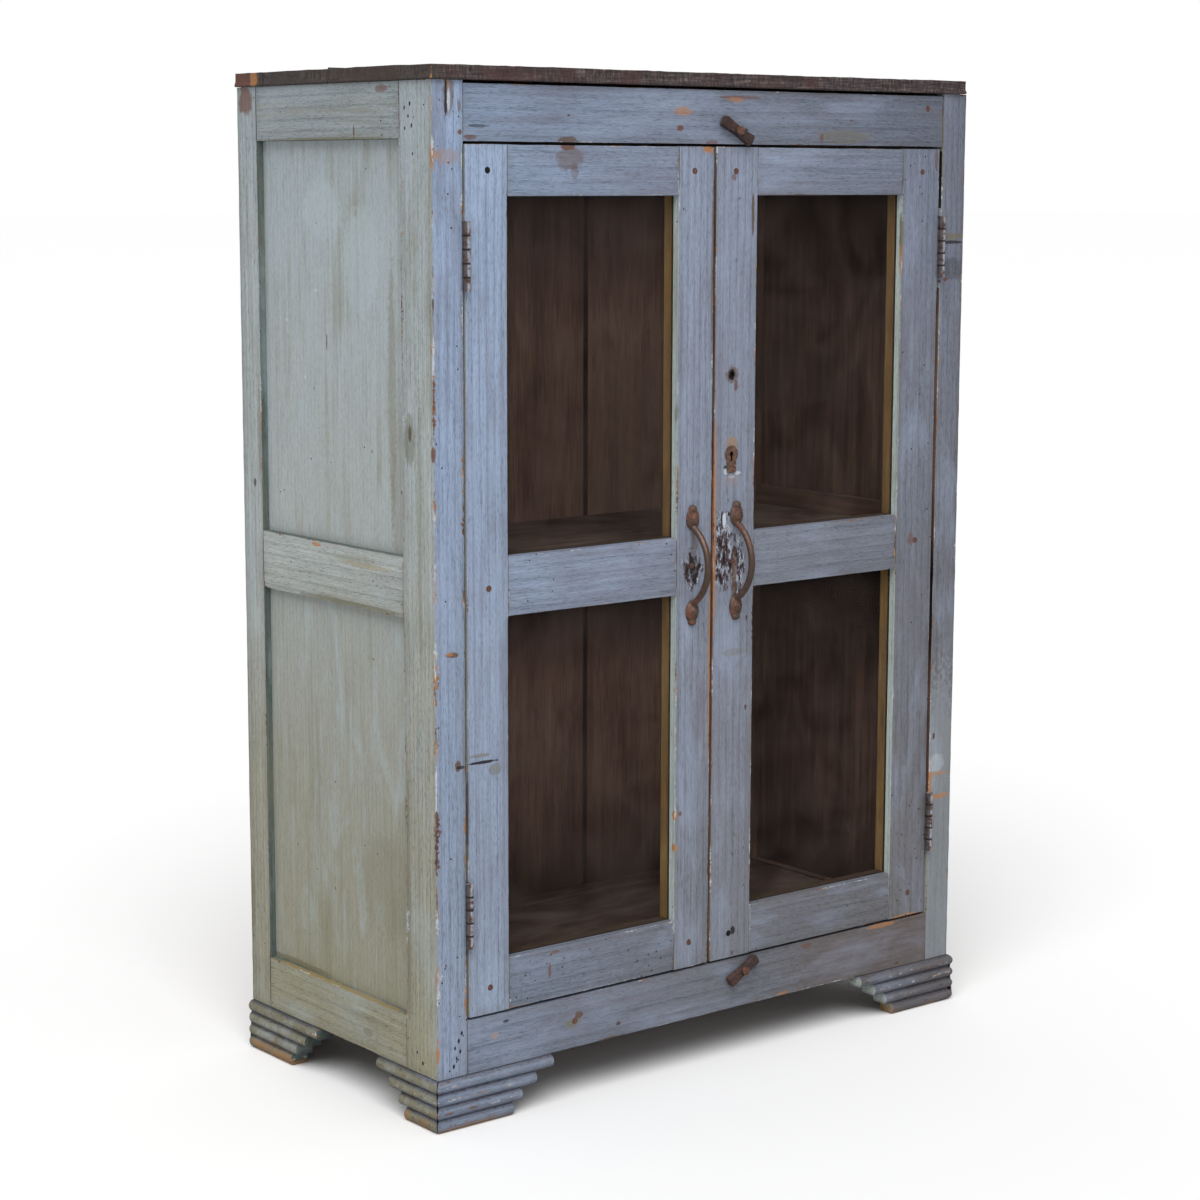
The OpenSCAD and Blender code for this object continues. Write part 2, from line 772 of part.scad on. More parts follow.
// A leaf-shaped plate with its tip away from the bow, and the bow's rod as part of a ring.
module pull(s) {
  sag = bow_stand - plate_t / 2;
  ring_r = (pow(bow_chord / 2, 2) + sag * sag) / (2 * sag);
  half = asin(bow_chord / 2 / ring_r);
  rusty_iron() by_hand(s) translate([pull_x[s], 0, pull_z]) difference() {
    union() {
      for (m = [0, 1]) mirror([0, 0, m]) translate([0, 0, pull_centres / 2])
        rotate([90, 0, 0]) linear_extrude(plate_t) plate_outline();
      translate([0, ring_r - bow_stand, 0]) rotate([0, -90, 0]) rotate([0, 0, -90 - half])
        rotate_extrude(angle = 2 * half) translate([ring_r, 0]) circle(r = rod_r);
    }
    box([-20, 0, -100], [20, 60, 100]);
    pull_screw_pair(pull_screw_r);
  }
}

module plate_outline() {
  circle(r = plate_r);
  translate([0, plate_tip]) circle(r = plate_tip_r);
  polygon([[-plate_r * 0.9, plate_r * 0.44], [plate_r * 0.9, plate_r * 0.44],
           [plate_tip_r, plate_tip], [-plate_tip_r, plate_tip]]);
}

module pull_screw_pair(r) {
  for (m = [-1, 1]) along_y(0, -plate_t, pull_screw_l, m * pull_screw_z, r);
}

// The shank of each pull screw, with its domed head where heads is true.
module pull_screws(s, heads) {
  r = (pow(pull_head_r, 2) + pow(dome_h, 2)) / (2 * dome_h);
  translate([pull_x[s], 0, pull_z]) {
    pull_screw_pair(pull_screw_r);
    if (heads) for (m = [-1, 1])
      translate([0, -plate_t, m * pull_screw_z]) intersection() {
        translate([0, r - dome_h, 0]) sphere(r = r);
        translate([0, -dome_h, 0]) rotate([-90, 0, 0]) cylinder(h = dome_h, r = pull_head_r);
      }
  }
}

module door_screws(s) {
  for (z = hinge_z) rusty_iron() by_hand(s) door_leaf_screws(s, z);
  rusty_iron() by_hand(s) pull_screws(s, true);
}

// ---- turn buttons ----

// Outline of a button standing upright, its waist drawn in by two large circles.
module button_outline() {
  half_l = button_l / 2 - button_corner_r;
  half_w = button_w / 2 - button_corner_r;
  waist_r = (pow(half_l, 2) + pow(button_waist, 2)) / (2 * button_waist);
  difference() {
    union() {
      for (x = [-half_w, half_w], y = [-half_l, half_l])
        translate([x, y]) circle(r = button_corner_r);
      square([2 * half_w, button_l], center = true);
      square([button_w, 2 * half_l], center = true);
    }
    for (m = [-1, 1]) translate([m * (button_w / 2 - button_waist + waist_r), 0])
      circle(r = waist_r, $fn = 96);
  }
}

module turn_button(i) {
  lean = i == 1 ? -button_tilt : button_tilt;
  rusty_iron() in_case() translate([button_x[i], -button_gap, button_z[i]])
    rotate([0, lean, 0]) rotate([90, 0, 0]) linear_extrude(button_t) difference() {
      button_outline();
      circle(r = pivot_r + pivot_fit);
    }
}

module top_turn_button() { turn_button(1); }
module bottom_turn_button() { turn_button(0); }

// ---- lock, on the right door, in the right hand's place ----

module keyhole(y0, y1) {
  x = door_x1[1] + meeting_gap / 2 - lock_x;
  along_y(x, y0, y1, lock_z, keyhole_r);
  box([x - keyhole_r / 2, y0, lock_z - 3 * keyhole_r], [x + keyhole_r / 2, y1, lock_z]);
}

module escutcheon() {
  x = door_x1[1] + meeting_gap / 2 - lock_x;
  rusty_iron() by_hand(1) difference() {
    union() {
      along_y(x, -escutcheon_t, 0, lock_z, escutcheon_r);
      box([x - escutcheon_r * 0.7, -escutcheon_t, lock_z - escutcheon_h],
          [x + escutcheon_r * 0.7, 0, lock_z]);
    }
    keyhole(-escutcheon_t, 0);
  }
}

// The lock's case stands on the back of the door; its bolt leaves it towards the left door.
module lock_case() {
  s = lock_case_size;
  y0 = door_t;
  play = [0, bolt_play, bolt_play];
  rusty_iron() in_case() difference() {
    box([lock_case_x0, y0, lock_z - s[1] / 2], [lock_case_x0 + s[0], y0 + s[2], lock_z + s[1] / 2]);
    box(bolt_lo() - play, bolt_hi() + play + [bolt_play, 0, 0]);
    translate([body_w, 0, 0]) mirror([1, 0, 0]) keyhole(y0, y0 + lock_wall);
  }
}

function bolt_lo() = [
  lock_case_x0,
  door_t + (lock_case_size[2] - bolt_size[1]) / 2,
  lock_z - bolt_size[0] / 2
];
function bolt_hi() = bolt_lo() + [bolt_l, bolt_size[1], bolt_size[0]];

module lock_bolt() {
  rusty_iron() in_case() box(bolt_lo(), bolt_hi());
}

// ---- nodes ----

front_left_post();
front_right_post();
rear_left_post();
rear_right_post();
front_top_rail();
front_bottom_rail();
rear_top_rail();
rear_bottom_rail();
side_top_rail(0);  // left_top_rail
side_mid_rail(0);  // left_mid_rail
side_bottom_rail(0);  // left_bottom_rail
side_top_rail(1);  // right_top_rail
side_mid_rail(1);  // right_mid_rail
side_bottom_rail(1);  // right_bottom_rail
side_upper_panel(0);  // left_upper_panel
side_lower_panel(0);  // left_lower_panel
side_upper_panel(1);  // right_upper_panel
side_lower_panel(1);  // right_lower_panel
back_boards();
top_boards();
floor_board();
shelf();
cleats();
door_stop();
front_left_foot();
front_right_foot();
rear_left_foot();
rear_right_foot();
foot_blocks();
rail_plugs();
post_hinge_leaves();
hinge_pins();
carcass_screws();
hinge_stile(0);  // left_hinge_stile
meeting_stile(0);  // left_meeting_stile
door_rail(0, 2);  // left_door_top_rail
door_rail(0, 1);  // left_door_mid_rail
door_rail(0, 0);  // left_door_bottom_rail
door_glass(0);  // left_door_glass
door_beads(0);  // left_door_beads
door_pegs(0);  // left_door_pegs
door_hinge_leaves(0);  // left_door_hinge_leaves
pull(0);  // left_pull
door_screws(0);  // left_door_screws
hinge_stile(1);  // right_hinge_stile
meeting_stile(1);  // right_meeting_stile
door_rail(1, 2);  // right_door_top_rail
door_rail(1, 1);  // right_door_mid_rail
door_rail(1, 0);  // right_door_bottom_rail
door_glass(1);  // right_door_glass
door_beads(1);  // right_door_beads
door_pegs(1);  // right_door_pegs
door_hinge_leaves(1);  // right_door_hinge_leaves
pull(1);  // right_pull
door_screws(1);  // right_door_screws
escutcheon();
lock_case();
lock_bolt();
top_turn_button();
bottom_turn_button();
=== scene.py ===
"""Glazed two-door cupboard: worn oil paint on teak, bare weathered top, rusty iron, old glass."""

import json
import math
from functools import partial

import bpy
from mathutils import Matrix, Vector

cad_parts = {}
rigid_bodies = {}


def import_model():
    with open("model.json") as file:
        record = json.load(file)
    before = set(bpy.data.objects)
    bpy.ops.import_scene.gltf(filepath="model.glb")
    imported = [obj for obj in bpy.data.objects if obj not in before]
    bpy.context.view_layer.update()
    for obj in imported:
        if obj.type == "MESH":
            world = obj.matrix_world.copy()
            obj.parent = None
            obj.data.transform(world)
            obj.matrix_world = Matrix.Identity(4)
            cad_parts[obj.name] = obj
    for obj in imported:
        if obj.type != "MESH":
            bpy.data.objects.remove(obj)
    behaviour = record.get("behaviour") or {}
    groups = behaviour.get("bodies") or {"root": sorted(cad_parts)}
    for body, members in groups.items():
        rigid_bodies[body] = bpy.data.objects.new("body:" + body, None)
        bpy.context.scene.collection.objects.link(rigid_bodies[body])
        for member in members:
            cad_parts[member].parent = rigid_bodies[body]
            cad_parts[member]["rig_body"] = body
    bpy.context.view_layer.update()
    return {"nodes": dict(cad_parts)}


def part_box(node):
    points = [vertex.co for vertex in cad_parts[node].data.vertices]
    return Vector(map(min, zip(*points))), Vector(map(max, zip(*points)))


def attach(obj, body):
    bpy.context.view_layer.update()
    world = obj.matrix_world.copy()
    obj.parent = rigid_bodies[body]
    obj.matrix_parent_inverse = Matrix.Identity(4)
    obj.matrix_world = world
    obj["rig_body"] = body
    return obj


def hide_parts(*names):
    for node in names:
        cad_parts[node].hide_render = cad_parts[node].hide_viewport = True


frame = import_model()
NODES = frame["nodes"]
MM = 0.001
X, Y, Z = 0, 1, 2
# How closely the members are cut across their length, and how far their faces have warped.
SLICE_MM = 14
WARP_MM = 0.5

# The case's front left lower corner, and its width, depth and height in millimetres.
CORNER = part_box("front_left_post")[0]
CASE = (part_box("rear_right_post")[1] - CORNER) / MM


def at(x, y, z):
    """A point given in millimetres from the case's front left lower corner."""
    return CORNER + Vector((x, y, z)) * MM


# ---- shaping a piece ----


def only(piece):
    """Selects one object and nothing else."""
    bpy.ops.object.select_all(action="DESELECT")
    piece.select_set(True)
    bpy.context.view_layer.objects.active = piece


def edit(piece):
    """Opens one object in edit mode."""
    only(piece)
    bpy.ops.object.mode_set(mode="EDIT")


def leave():
    """Goes back to object mode."""
    bpy.ops.object.mode_set(mode="OBJECT")


def pick_edges(piece, wanted):
    """Selects the edges for which wanted(first end, second end) is true. Called in object mode."""
    mesh = piece.data
    bpy.context.tool_settings.mesh_select_mode = (False, True, False)
    for face in mesh.polygons:
        face.select = False
    for vertex in mesh.vertices:
        vertex.select = False
    for edge in mesh.edges:
        a, b = (mesh.vertices[i].co for i in edge.vertices)
        edge.select = bool(wanted(a, b))
        if edge.select:
            for i in edge.vertices:
                mesh.vertices[i].select = True


def apply(piece, kind, **settings):
    """Adds a modifier with its settings and applies it."""
    only(piece)
    modifier = piece.modifiers.new(kind.lower(), kind)
    for key, value in settings.items():
        setattr(modifier, key, value)
    bpy.ops.object.modifier_apply(modifier=modifier.name)


def lumps(name, size_mm, depth=2):
    """Soft cloud relief for displacement, with lumps of about that size."""
    texture = bpy.data.textures.get(name) or bpy.data.textures.new(name, "CLOUDS")
    texture.noise_scale = size_mm * MM
    texture.noise_depth = depth
    return texture


def press_in(piece, texture, depth_mm, group=""):
    """Lowers the surface by up to that depth, never raises it."""
    apply(piece, "DISPLACE", texture=texture, texture_coords="GLOBAL", direction="NORMAL",
          mid_level=0.0, strength=-depth_mm * MM, vertex_group=group)


def soften_corners(piece, width_mm):
    """A small bevel along every sharp edge."""
    apply(piece, "BEVEL", width=width_mm * MM, segments=2, limit_method="ANGLE",
          angle_limit=math.radians(50), use_clamp_overlap=False)


def merged_copy(node, name):
    """A copy of a CAD node's mesh with its loose triangles joined into whole faces."""
    piece = bpy.data.objects.new(name, NODES[node].data.copy())
    bpy.context.scene.collection.objects.link(piece)
    piece.data.materials.clear()
    edit(piece)
    bpy.ops.mesh.select_all(action="SELECT")
    bpy.ops.mesh.remove_doubles(threshold=0.02 * MM)
    bpy.ops.mesh.customdata_custom_splitnormals_clear()
    bpy.ops.mesh.dissolve_limited(angle_limit=math.radians(0.5))
    bpy.ops.mesh.select_all(action="SELECT")
    bpy.ops.mesh.normals_make_consistent(inside=False)
    leave()
    return piece


def slice_up(piece, axis, step_mm):
    """Cuts rings round a piece across its length, so that its arrises can wander."""
    low = min(v.co[axis] for v in piece.data.vertices)
    high = max(v.co[axis] for v in piece.data.vertices)
    count = max(1, round((high - low) / (step_mm * MM)))
    normal = [0.0, 0.0, 0.0]
    normal[axis] = 1.0
    edit(piece)
    for i in range(1, count):
        place = [0.0, 0.0, 0.0]
        place[axis] = low + (high - low) * i / count
        bpy.ops.mesh.select_all(action="SELECT")
        bpy.ops.mesh.bisect(plane_co=place, plane_no=normal)
    leave()


def round_arrises(piece, low, high, radius_mm, neighbours):
    """Bevels the edges that lie on two faces of the box low-high, and keeps them as a group.
    Edges that meet a neighbour stay tight, because paint has filled the joint."""
    tolerance = 0.05 * MM
    touching = Vector((0.3, 0.3, 0.3)) * MM
    boxes = [(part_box(node)[0] - touching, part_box(node)[1] + touching) for node in neighbours]

    def on_two_faces(a, b):
        middle = (a + b) / 2
        for near, far in boxes:
            if all(near[i] < middle[i] < far[i] for i in range(3)):
                return False
        shared = 0
        for i in range(3):
            for plane in (low[i], high[i]):
                if abs(a[i] - plane) < tolerance and abs(b[i] - plane) < tolerance:
                    shared += 1
        return shared >= 2

    pick_edges(piece, on_two_faces)
    edit(piece)
    bpy.ops.mesh.bevel(offset=radius_mm * MM, segments=2, profile=0.5, affect="EDGES",
                       clamp_overlap=False)
    piece.vertex_groups.new(name="arris")
    bpy.ops.object.vertex_group_assign()
    leave()


# ---- what each piece carries for its finish ----

# The space behind the doors and between the side panels, in millimetres from the case's corner.
INNER_LOW = Vector((10, 28, 1))
INNER_HIGH = Vector((CASE.x - 10, CASE.y - 5, CASE.z + 4))
LOOK_AHEAD_MM = 3


def inside_case(face):
    """True for a face that was never painted: one that looks into the case or to its back."""
    if face.normal.y > 0.5:
        return True
    spot = (face.center + face.normal * LOOK_AHEAD_MM * MM - CORNER) / MM
    return all(INNER_LOW[i] < spot[i] < INNER_HIGH[i] for i in range(3))


def note_for_finish(piece, low, high, tone, seed):
    """Gives a piece's mesh what its paint reads: its own box, lightness and seed, which arrises are
    open (all, where it has no group for them), and which faces are bare wood."""
    mesh = piece.data
    for name, value in (("low", low), ("high", high)):
        layer = mesh.attributes.new(name, "FLOAT_VECTOR", "POINT")
        layer.data.foreach_set("vector", list(value) * len(mesh.vertices))
    for name, value in (("tone", tone), ("seed", seed)):
        layer = mesh.attributes.new(name, "FLOAT", "POINT")
        layer.data.foreach_set("value", [value] * len(mesh.vertices))
    group = piece.vertex_groups.get("arris")
    layer = mesh.attributes.new("open", "FLOAT", "POINT")
    layer.data.foreach_set("value", [
        float(group is None or any(g.group == group.index for g in vertex.groups))
        for vertex in mesh.vertices])
    layer = mesh.attributes.new("bare", "FLOAT", "FACE")
    layer.data.foreach_set("value", [float(inside_case(face)) for face in mesh.polygons])


def settle(piece, node, finish, smooth_angle=35):
    """Puts a finished piece in the place of its CAD node, trimmed to the node's box."""
    low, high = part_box(node)
    for vertex in piece.data.vertices:
        for i in range(3):
            vertex.co[i] = min(max(vertex.co[i], low[i]), high[i])
    only(piece)
    bpy.ops.object.shade_smooth_by_angle(angle=math.radians(smooth_angle))
    piece.data.materials.append(finish)
    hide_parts(node)
    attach(piece, NODES[node]["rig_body"])


def worn_member(node, axis, finish, tone, body, radius_mm, dent_mm):
    """One member of the frame: rounded, dented arrises and slightly wavy faces. body is its lowest and
    highest place along its length without tenons, or None where it has none."""
    low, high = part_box(node)
    if body:
        low, high = Vector(low), Vector(high)
        low[axis], high[axis] = body
    piece = merged_copy(node, node + "_worn")
    slice_up(piece, axis, SLICE_MM)
    round_arrises(piece, low, high, radius_mm, [other for other in JOINED if other != node])
    press_in(piece, lumps("dents", 9, 3), dent_mm, "arris")
    press_in(piece, lumps("warp", 160), WARP_MM)
    note_for_finish(piece, low, high, tone, 0.37 * len(bpy.data.meshes))
    settle(piece, node, finish)


# ---- materials ----


def linear(code):
    """sRGB hex to linear RGBA."""
    parts = [int(code[i:i + 2], 16) / 255 for i in (1, 3, 5)]
    return [c / 12.92 if c <= 0.04045 else ((c + 0.055) / 1.055) ** 2.4 for c in parts] + [1.0]


def add_to(tree, kind, inputs=(), stops=None, **settings):
    """Adds a node with its settings, and links or sets its inputs, which are given by name or number,
    or all in order. A second word in kind is the node's operation. stops are a colour ramp's."""
    kind, *operation = kind.split()
    made = tree.nodes.new("ShaderNode" + kind)
    if operation:
        settings["operation"] = operation[0]
    if kind == "Mix":
        settings.setdefault("data_type", "RGBA")
    for key, value in settings.items():
        setattr(made, key, value)
    pairs = inputs.items() if isinstance(inputs, dict) else enumerate(inputs)
    for key, value in pairs:
        if isinstance(value, bpy.types.Node):
            value = next(s for s in value.outputs if s.enabled)
        if isinstance(value, bpy.types.NodeSocket):
            tree.links.new(value, made.inputs[key])
        else:
            made.inputs[key].default_value = value
    if stops:
        ramp = made.color_ramp
        while len(ramp.elements) < len(stops):
            ramp.elements.new(0.5)
        for element, (place, code) in zip(ramp.elements, stops):
            element.position = place
            element.color = linear(code)
    return made


def per_mm(size):
    """Texture scale for features of about that many millimetres."""
    return 1000 / size


def new_material(name):
    """An empty material, and the function that adds nodes to it."""
    material = bpy.data.materials.new(name)
    material.use_nodes = True
    material.node_tree.nodes.clear()
    return material, partial(add_to, material.node_tree)


def finish_surface(add, colour, roughness, height=None, bump_mm=0.4, strength=0.6, **more):
    """One Principled shader with its bump, to the material's output. more are its other sockets."""
    inputs = {"Base Color": colour, "Roughness": roughness, **more}
    if height is not None:
        inputs["Normal"] = add("Bump", {
            "Strength": strength, "Distance": bump_mm * MM, "Height": height})
    shader = add("BsdfPrincipled", inputs)
    add("OutputMaterial", {"Surface": shader})


def own_place(add, where):
    """Object coordinates moved by the piece's own seed, so that grain doesn't run over joints."""
    seed = add("Attribute", attribute_name="seed").outputs["Fac"]
    return add("VectorMath MULTIPLY_ADD", (seed, (1.7, 2.3, 0.9), where))


def along(add, place, grain, stretch, shift=(0, 0, 0)):
    """Coordinates pressed together along the grain, so that a pattern runs out along it."""
    scale = [1.0, 1.0, 1.0]
    scale["xyz".index(grain)] = 1 / stretch
    return add("Mapping", {"Vector": place, "Location": shift, "Scale": scale})


def ragged_spot(add, where, centre, size, rag=0.5, grit_mm=6):
    """A mask that is 1 inside a ragged ellipsoid: its centre in millimetres from the case's corner, its
    half sizes, how ragged its outline is, and the size of the grit in it."""
    offset = add("VectorMath SUBTRACT", (where, at(*centre)))
    scaled = add("VectorMath DIVIDE", (offset, [s * MM for s in size]))
    reach = add("VectorMath LENGTH", (scaled,)).outputs["Value"]
    rough = add("TexNoise", {"Vector": where, "Scale": per_mm(grit_mm), "Detail": 3.0})
    uneven = add("Math MULTIPLY_ADD", (rough, -2 * rag, reach))
    return add("MapRange", (uneven, 1.18 - rag, 0.78 - rag), interpolation_type="SMOOTHSTEP")


def marked(add, colour, where, marks):
    """The marks of one piece, each a kind, a centre, half sizes and an amount, laid over its colour."""
    for kind, centre, size, amount in marks:
        mask = add("Math MULTIPLY", (ragged_spot(add, where, centre, size), amount))
        colour = add("Mix", {0: mask, 6: colour, 7: linear(MARK_COLOURS[kind])})
    return colour


# ---- worn oil paint on teak ----

# What has happened to the paint in one place: bare wood, rust, holes, moss, older coats, stains. A few
# marks paint shade instead, as said where they stand.
MARK_COLOURS = {
    "raw": "#a5703f", "rust": "#6a4336", "dark": "#211a1c", "olive": "#6d6850",
    "primer": "#b9c2cc", "pink": "#94817b", "brown": "#5f4938", "bloom": "#a3b0b6",
    "tan": "#8f7866", "ochre": "#8d7a4c",
}
# The coat across the width of the front, as lit: bluish and lighter on the left, greyer and darker to the
# right, where painted light falls off away from the left.
FRONT_COAT_AS_LIT = [
    (0.0, "#8698b4"), (0.10, "#899ab4"), (0.26, "#8593ac"), (0.45, "#808a9e"),
    (0.55, "#7b8496"), (0.88, "#6c7485"), (1.0, "#656b7a"),
]
# The coat up the sides, as lit: greener than the front, partly the tint of the light on the sides painted
# in; darker and yellower towards the floor.
SIDE_COAT_AS_LIT = [(0.0, "#86836f"), (0.25, "#8b8b80"), (0.55, "#949a99"), (0.85, "#939ca0"), (1.0, "#8c959a")]
# Painted shade on the wood inside, from the floor board up: darkest under the shelf and under the top.
COMPARTMENT_SHADE = [
    (0.05, "#585453"), (0.18, "#ffffff"), (0.31, "#ffffff"), (0.40, "#5e5654"), (0.46, "#3c3636"),
    (0.50, "#f0f0f0"), (0.74, "#ffffff"), (0.90, "#423f48"),
]
# What shows where paint has flaked off: dark wood, rust, primer and dirt.
FLAKES = [
    (0.32, "#1b1418"), (0.44, "#2b2126"), (0.49, "#4d3833"), (0.53, "#5b5560"), (0.57, "#8d96a8"),
    (0.60, "#c2ccda"), (0.63, "#6b6657"),
]
# What shows along a rubbed arris: old brown wood, fresh orange wood and pale primer.
RUBBED_WOOD = [
    (0.36, "#4a332c"), (0.45, "#6b4a3c"), (0.50, "#a67a50"), (0.53, "#b4babd"), (0.60, "#98a0ac"),
    (0.66, "#a5683a"),
]
RING_MM = 6
REED_MM = 15
CHIP_SPACING_MM = 17
WORM_SPACING_MM = 8.5
DOOR_SEAM_MM = 398.5
FRONT_DEPTH_MM = 40


def arris_distance(add, where):
    """Distances in metres from a point on a box-shaped piece: to its nearest arris and nearest end."""
    low = add("Attribute", attribute_name="low").outputs["Vector"]
    high = add("Attribute", attribute_name="high").outputs["Vector"]
    below = add("VectorMath SUBTRACT", (where, low))
    above = add("VectorMath SUBTRACT", (high, where))
    nearest = add("SeparateXYZ", (add("VectorMath MINIMUM", (below, above)),))
    x, y, z = nearest.outputs
    least = add("Math MINIMUM", (add("Math MINIMUM", (x, y)), z))
    most = add("Math MAXIMUM", (add("Math MAXIMUM", (x, y)), z))
    total = add("Math ADD", (add("Math ADD", (x, y)), z))
    two = add("Math ADD", (least, most))
    return add("Math SUBTRACT", (total, two)), most


def with_painted_shade(add, colour, up, inward):
    """Painted shade: the wood that looks into a compartment is darkest under its top."""
    height = add("MapRange", (up, CORNER.z, at(0, 0, CASE.z).z))
    shade_colour = add("ValToRGB", (height,), stops=COMPARTMENT_SHADE)
    return add("Mix", {0: inward, 6: colour, 7: shade_colour}, blend_type="MULTIPLY")


def grain_fields(add, place, grain, swirl):
    """What the brush and the wood leave along the grain: bristle lines, the drag of the brush, wide and
    narrow clouds, pores and growth rings."""
    # Bristle lines are about 1 mm wide; drawn 1.5 mm wide so that they show.
    bristle = add("TexNoise", {
        "Vector": along(add, place, grain, 45), "Scale": per_mm(1.5), "Detail": 4.0, "Roughness": 0.65})
    drag = add("TexNoise", {"Vector": along(add, place, grain, 22), "Scale": per_mm(9), "Detail": 3.0})
    wide = add("TexNoise", {
        "Vector": along(add, place, grain, 2.2), "Scale": per_mm(75), "Detail": 4.0, "Roughness": 0.6,
        "Distortion": 0.2})
    narrow = add("TexNoise", {
        "Vector": along(add, place, grain, 3.5, (3, 5, 7)), "Scale": per_mm(40), "Detail": 5.0,
        "Roughness": 0.62, "Distortion": swirl})
    # Teak pores are about 0.3 mm wide and 8 mm long; drawn 0.7 mm wide so that they show.
    pore_field = add("TexNoise", {
        "Vector": along(add, place, grain, 11), "Scale": per_mm(0.7), "Detail": 1.0})
    pores = add("MapRange", (pore_field, 0.56, 0.66), interpolation_type="SMOOTHSTEP")
    # Growth rings run out in long arcs. A wave repeats every 0.314 of its scale.
    rings = add("TexWave", {
        "Vector": along(add, place, grain, 9, (0.05, 0.06, 0.05)), "Scale": 0.314 * per_mm(RING_MM),
        "Distortion": 7.0, "Detail": 2.0, "Detail Scale": 0.12},
        wave_type="RINGS", rings_direction=grain.upper(), wave_profile="SAW")
    return bristle, drag, wide, narrow, pores, rings


def coat_by_side(add, spot, turned):
    """The coat's colour by the way a face looks and where it is, partly painted light, and a mask of all
    but the front.
    """
    across = add("MapRange", (spot.outputs["X"], CORNER.x, at(CASE.x, 0, 0).x))
    upward = add("MapRange", (spot.outputs["Z"], CORNER.z, at(0, 0, CASE.z).z))
    front = add("ValToRGB", (across,), stops=FRONT_COAT_AS_LIT)
    side = add("ValToRGB", (upward,), stops=SIDE_COAT_AS_LIT)
    front_ends = at(0, FRONT_DEPTH_MM, 0).y
    behind = add("MapRange", (spot.outputs["Y"], front_ends, front_ends + 2 * MM))
    sideways = add("Math MAXIMUM", (turned, behind))
    # The right of the front is darker and greyer towards the floor: painted shade.
    lower_right_shade = add("MapRange", (upward, 0.9, 0.15, 0.0, 1.0))
    lower_right_shade = add("Math MULTIPLY", (lower_right_shade, add("MapRange", {0: across, 3: 0.34, 4: 0.82})))
    front = add("Mix", {0: lower_right_shade, 6: front, 7: linear("#625f5e")})
    # Sides and front get different coats: partly the paint, partly the tint of the light on each side,
    # painted in.
    coat = add("Mix", {0: sideways, 6: front, 7: side})
    # The edges of the pane openings have a paler, greener coat: partly the paint, partly painted light on
    # these narrow faces.
    lit_reveal = add("MapRange", (across, 0.115, 0.12))
    lit_reveal = add("Math MULTIPLY", (lit_reveal, add("MapRange", (across, 0.88, 0.875))))
    lit_reveal = add("Math MULTIPLY", (lit_reveal, turned))
    # Where the two doors meet, their edges have rubbed brown.
    meeting = add("Math SUBTRACT", (spot.outputs["X"], at(DOOR_SEAM_MM, 0, 0).x))
    meeting = add("MapRange", (add("Math ABSOLUTE", (meeting,)), 0.004, 0.003))
    meeting = add("Math MULTIPLY", (meeting, turned))
    # The narrow faces round the side panels are darkened: painted shade in the recess.
    facing_front = add("Math SUBTRACT", (1.0, turned))
    recess_shade = add("Math MULTIPLY", (behind, facing_front))
    for mask, code in ((lit_reveal, "#aab6b2"), (meeting, "#64483a"), (recess_shade, "#4b5955")):
        coat = add("Mix", {0: mask, 6: coat, 7: linear(code)})
    return coat, sideways


def brushed_coat(add, coat, sideways, fields, brushed):
    """The coat with the light and shade of its brushwork, a chalky bloom and grime."""
    bristle, drag, wide, narrow, pores, rings = fields
    late_wood = add("MapRange", (rings, 0.66, 1.0))
    tone = add("Attribute", attribute_name="tone").outputs["Fac"]
    # Where the bristles show less, a plain light takes their place.
    shade = 0.26 + 0.75 * (1 - brushed)
    for field, weight in ((bristle, brushed), (drag, 0.5 * brushed), (wide, 0.3),
                          (late_wood, -0.24 * brushed), (pores, -0.34 * brushed)):
        shade = add("Math MULTIPLY_ADD", (field, weight, shade))
    shade = add("Math MULTIPLY", (shade, tone))
    colour = add("VectorMath SCALE", {0: coat, "Scale": shade})

    bloom = add("MapRange", (narrow, 0.50, 0.70, 0.0, 0.40 if brushed == 1.0 else 0.5))
    chalk = add("Mix", {0: sideways, 6: linear("#95a3bc"), 7: linear("#9fadb4")})
    colour = add("Mix", {0: bloom, 6: colour, 7: chalk})
    dirt_field = add("Math ADD", (wide, drag))
    dirt = add("MapRange", (dirt_field, 0.98, 1.35, 0.0, 0.60))
    grime = add("Mix", {0: sideways, 6: linear("#5d5863"), 7: linear("#716e57")})
    return add("Mix", {0: dirt, 6: colour, 7: grime})


def dirty_joints(add, colour, arris, drag, open_edge):
    """Dirt along every arris, and a hairline where two members meet flush."""
    crease = add("MapRange", (arris, 0.012, 0.0, 0.0, 0.35))
    crease = add("Math MULTIPLY", (crease, drag))
    hairline = add("MapRange", (arris, 0.0011, 0.0004, 0.0, 0.75))
    closed = add("Math SUBTRACT", (1.0, open_edge))
    hairline = add("Math MULTIPLY", (hairline, closed))
    for mask, code in ((crease, "#5c5751"), (hairline, "#3c393e")):
        colour = add("Mix", {0: mask, 6: colour, 7: linear(code)})
    return colour


def small_chips(add, place, grain):
    """A mask of small chips: each cell of a pattern has its own chance of holding one."""
    wobble = add("TexNoise", {"Vector": place, "Scale": per_mm(5), "Detail": 3.0}).outputs["Color"]
    wobble = add("VectorMath SCALE", {0: wobble, "Scale": 0.004})
    chip_place = add("VectorMath ADD", (place, wobble))
    cells = add("TexVoronoi", {
        "Vector": along(add, chip_place, grain, 1.8), "Scale": per_mm(CHIP_SPACING_MM)})
    chance = add("SeparateColor", (cells.outputs["Color"],))
    size = add("MapRange", (chance.outputs[0], 0.86, 1.0, 0.0, 0.17))
    inside = add("Math SUBTRACT", (size, cells.outputs["Distance"]))
    return add("MapRange", (inside, 0.0, 0.04))


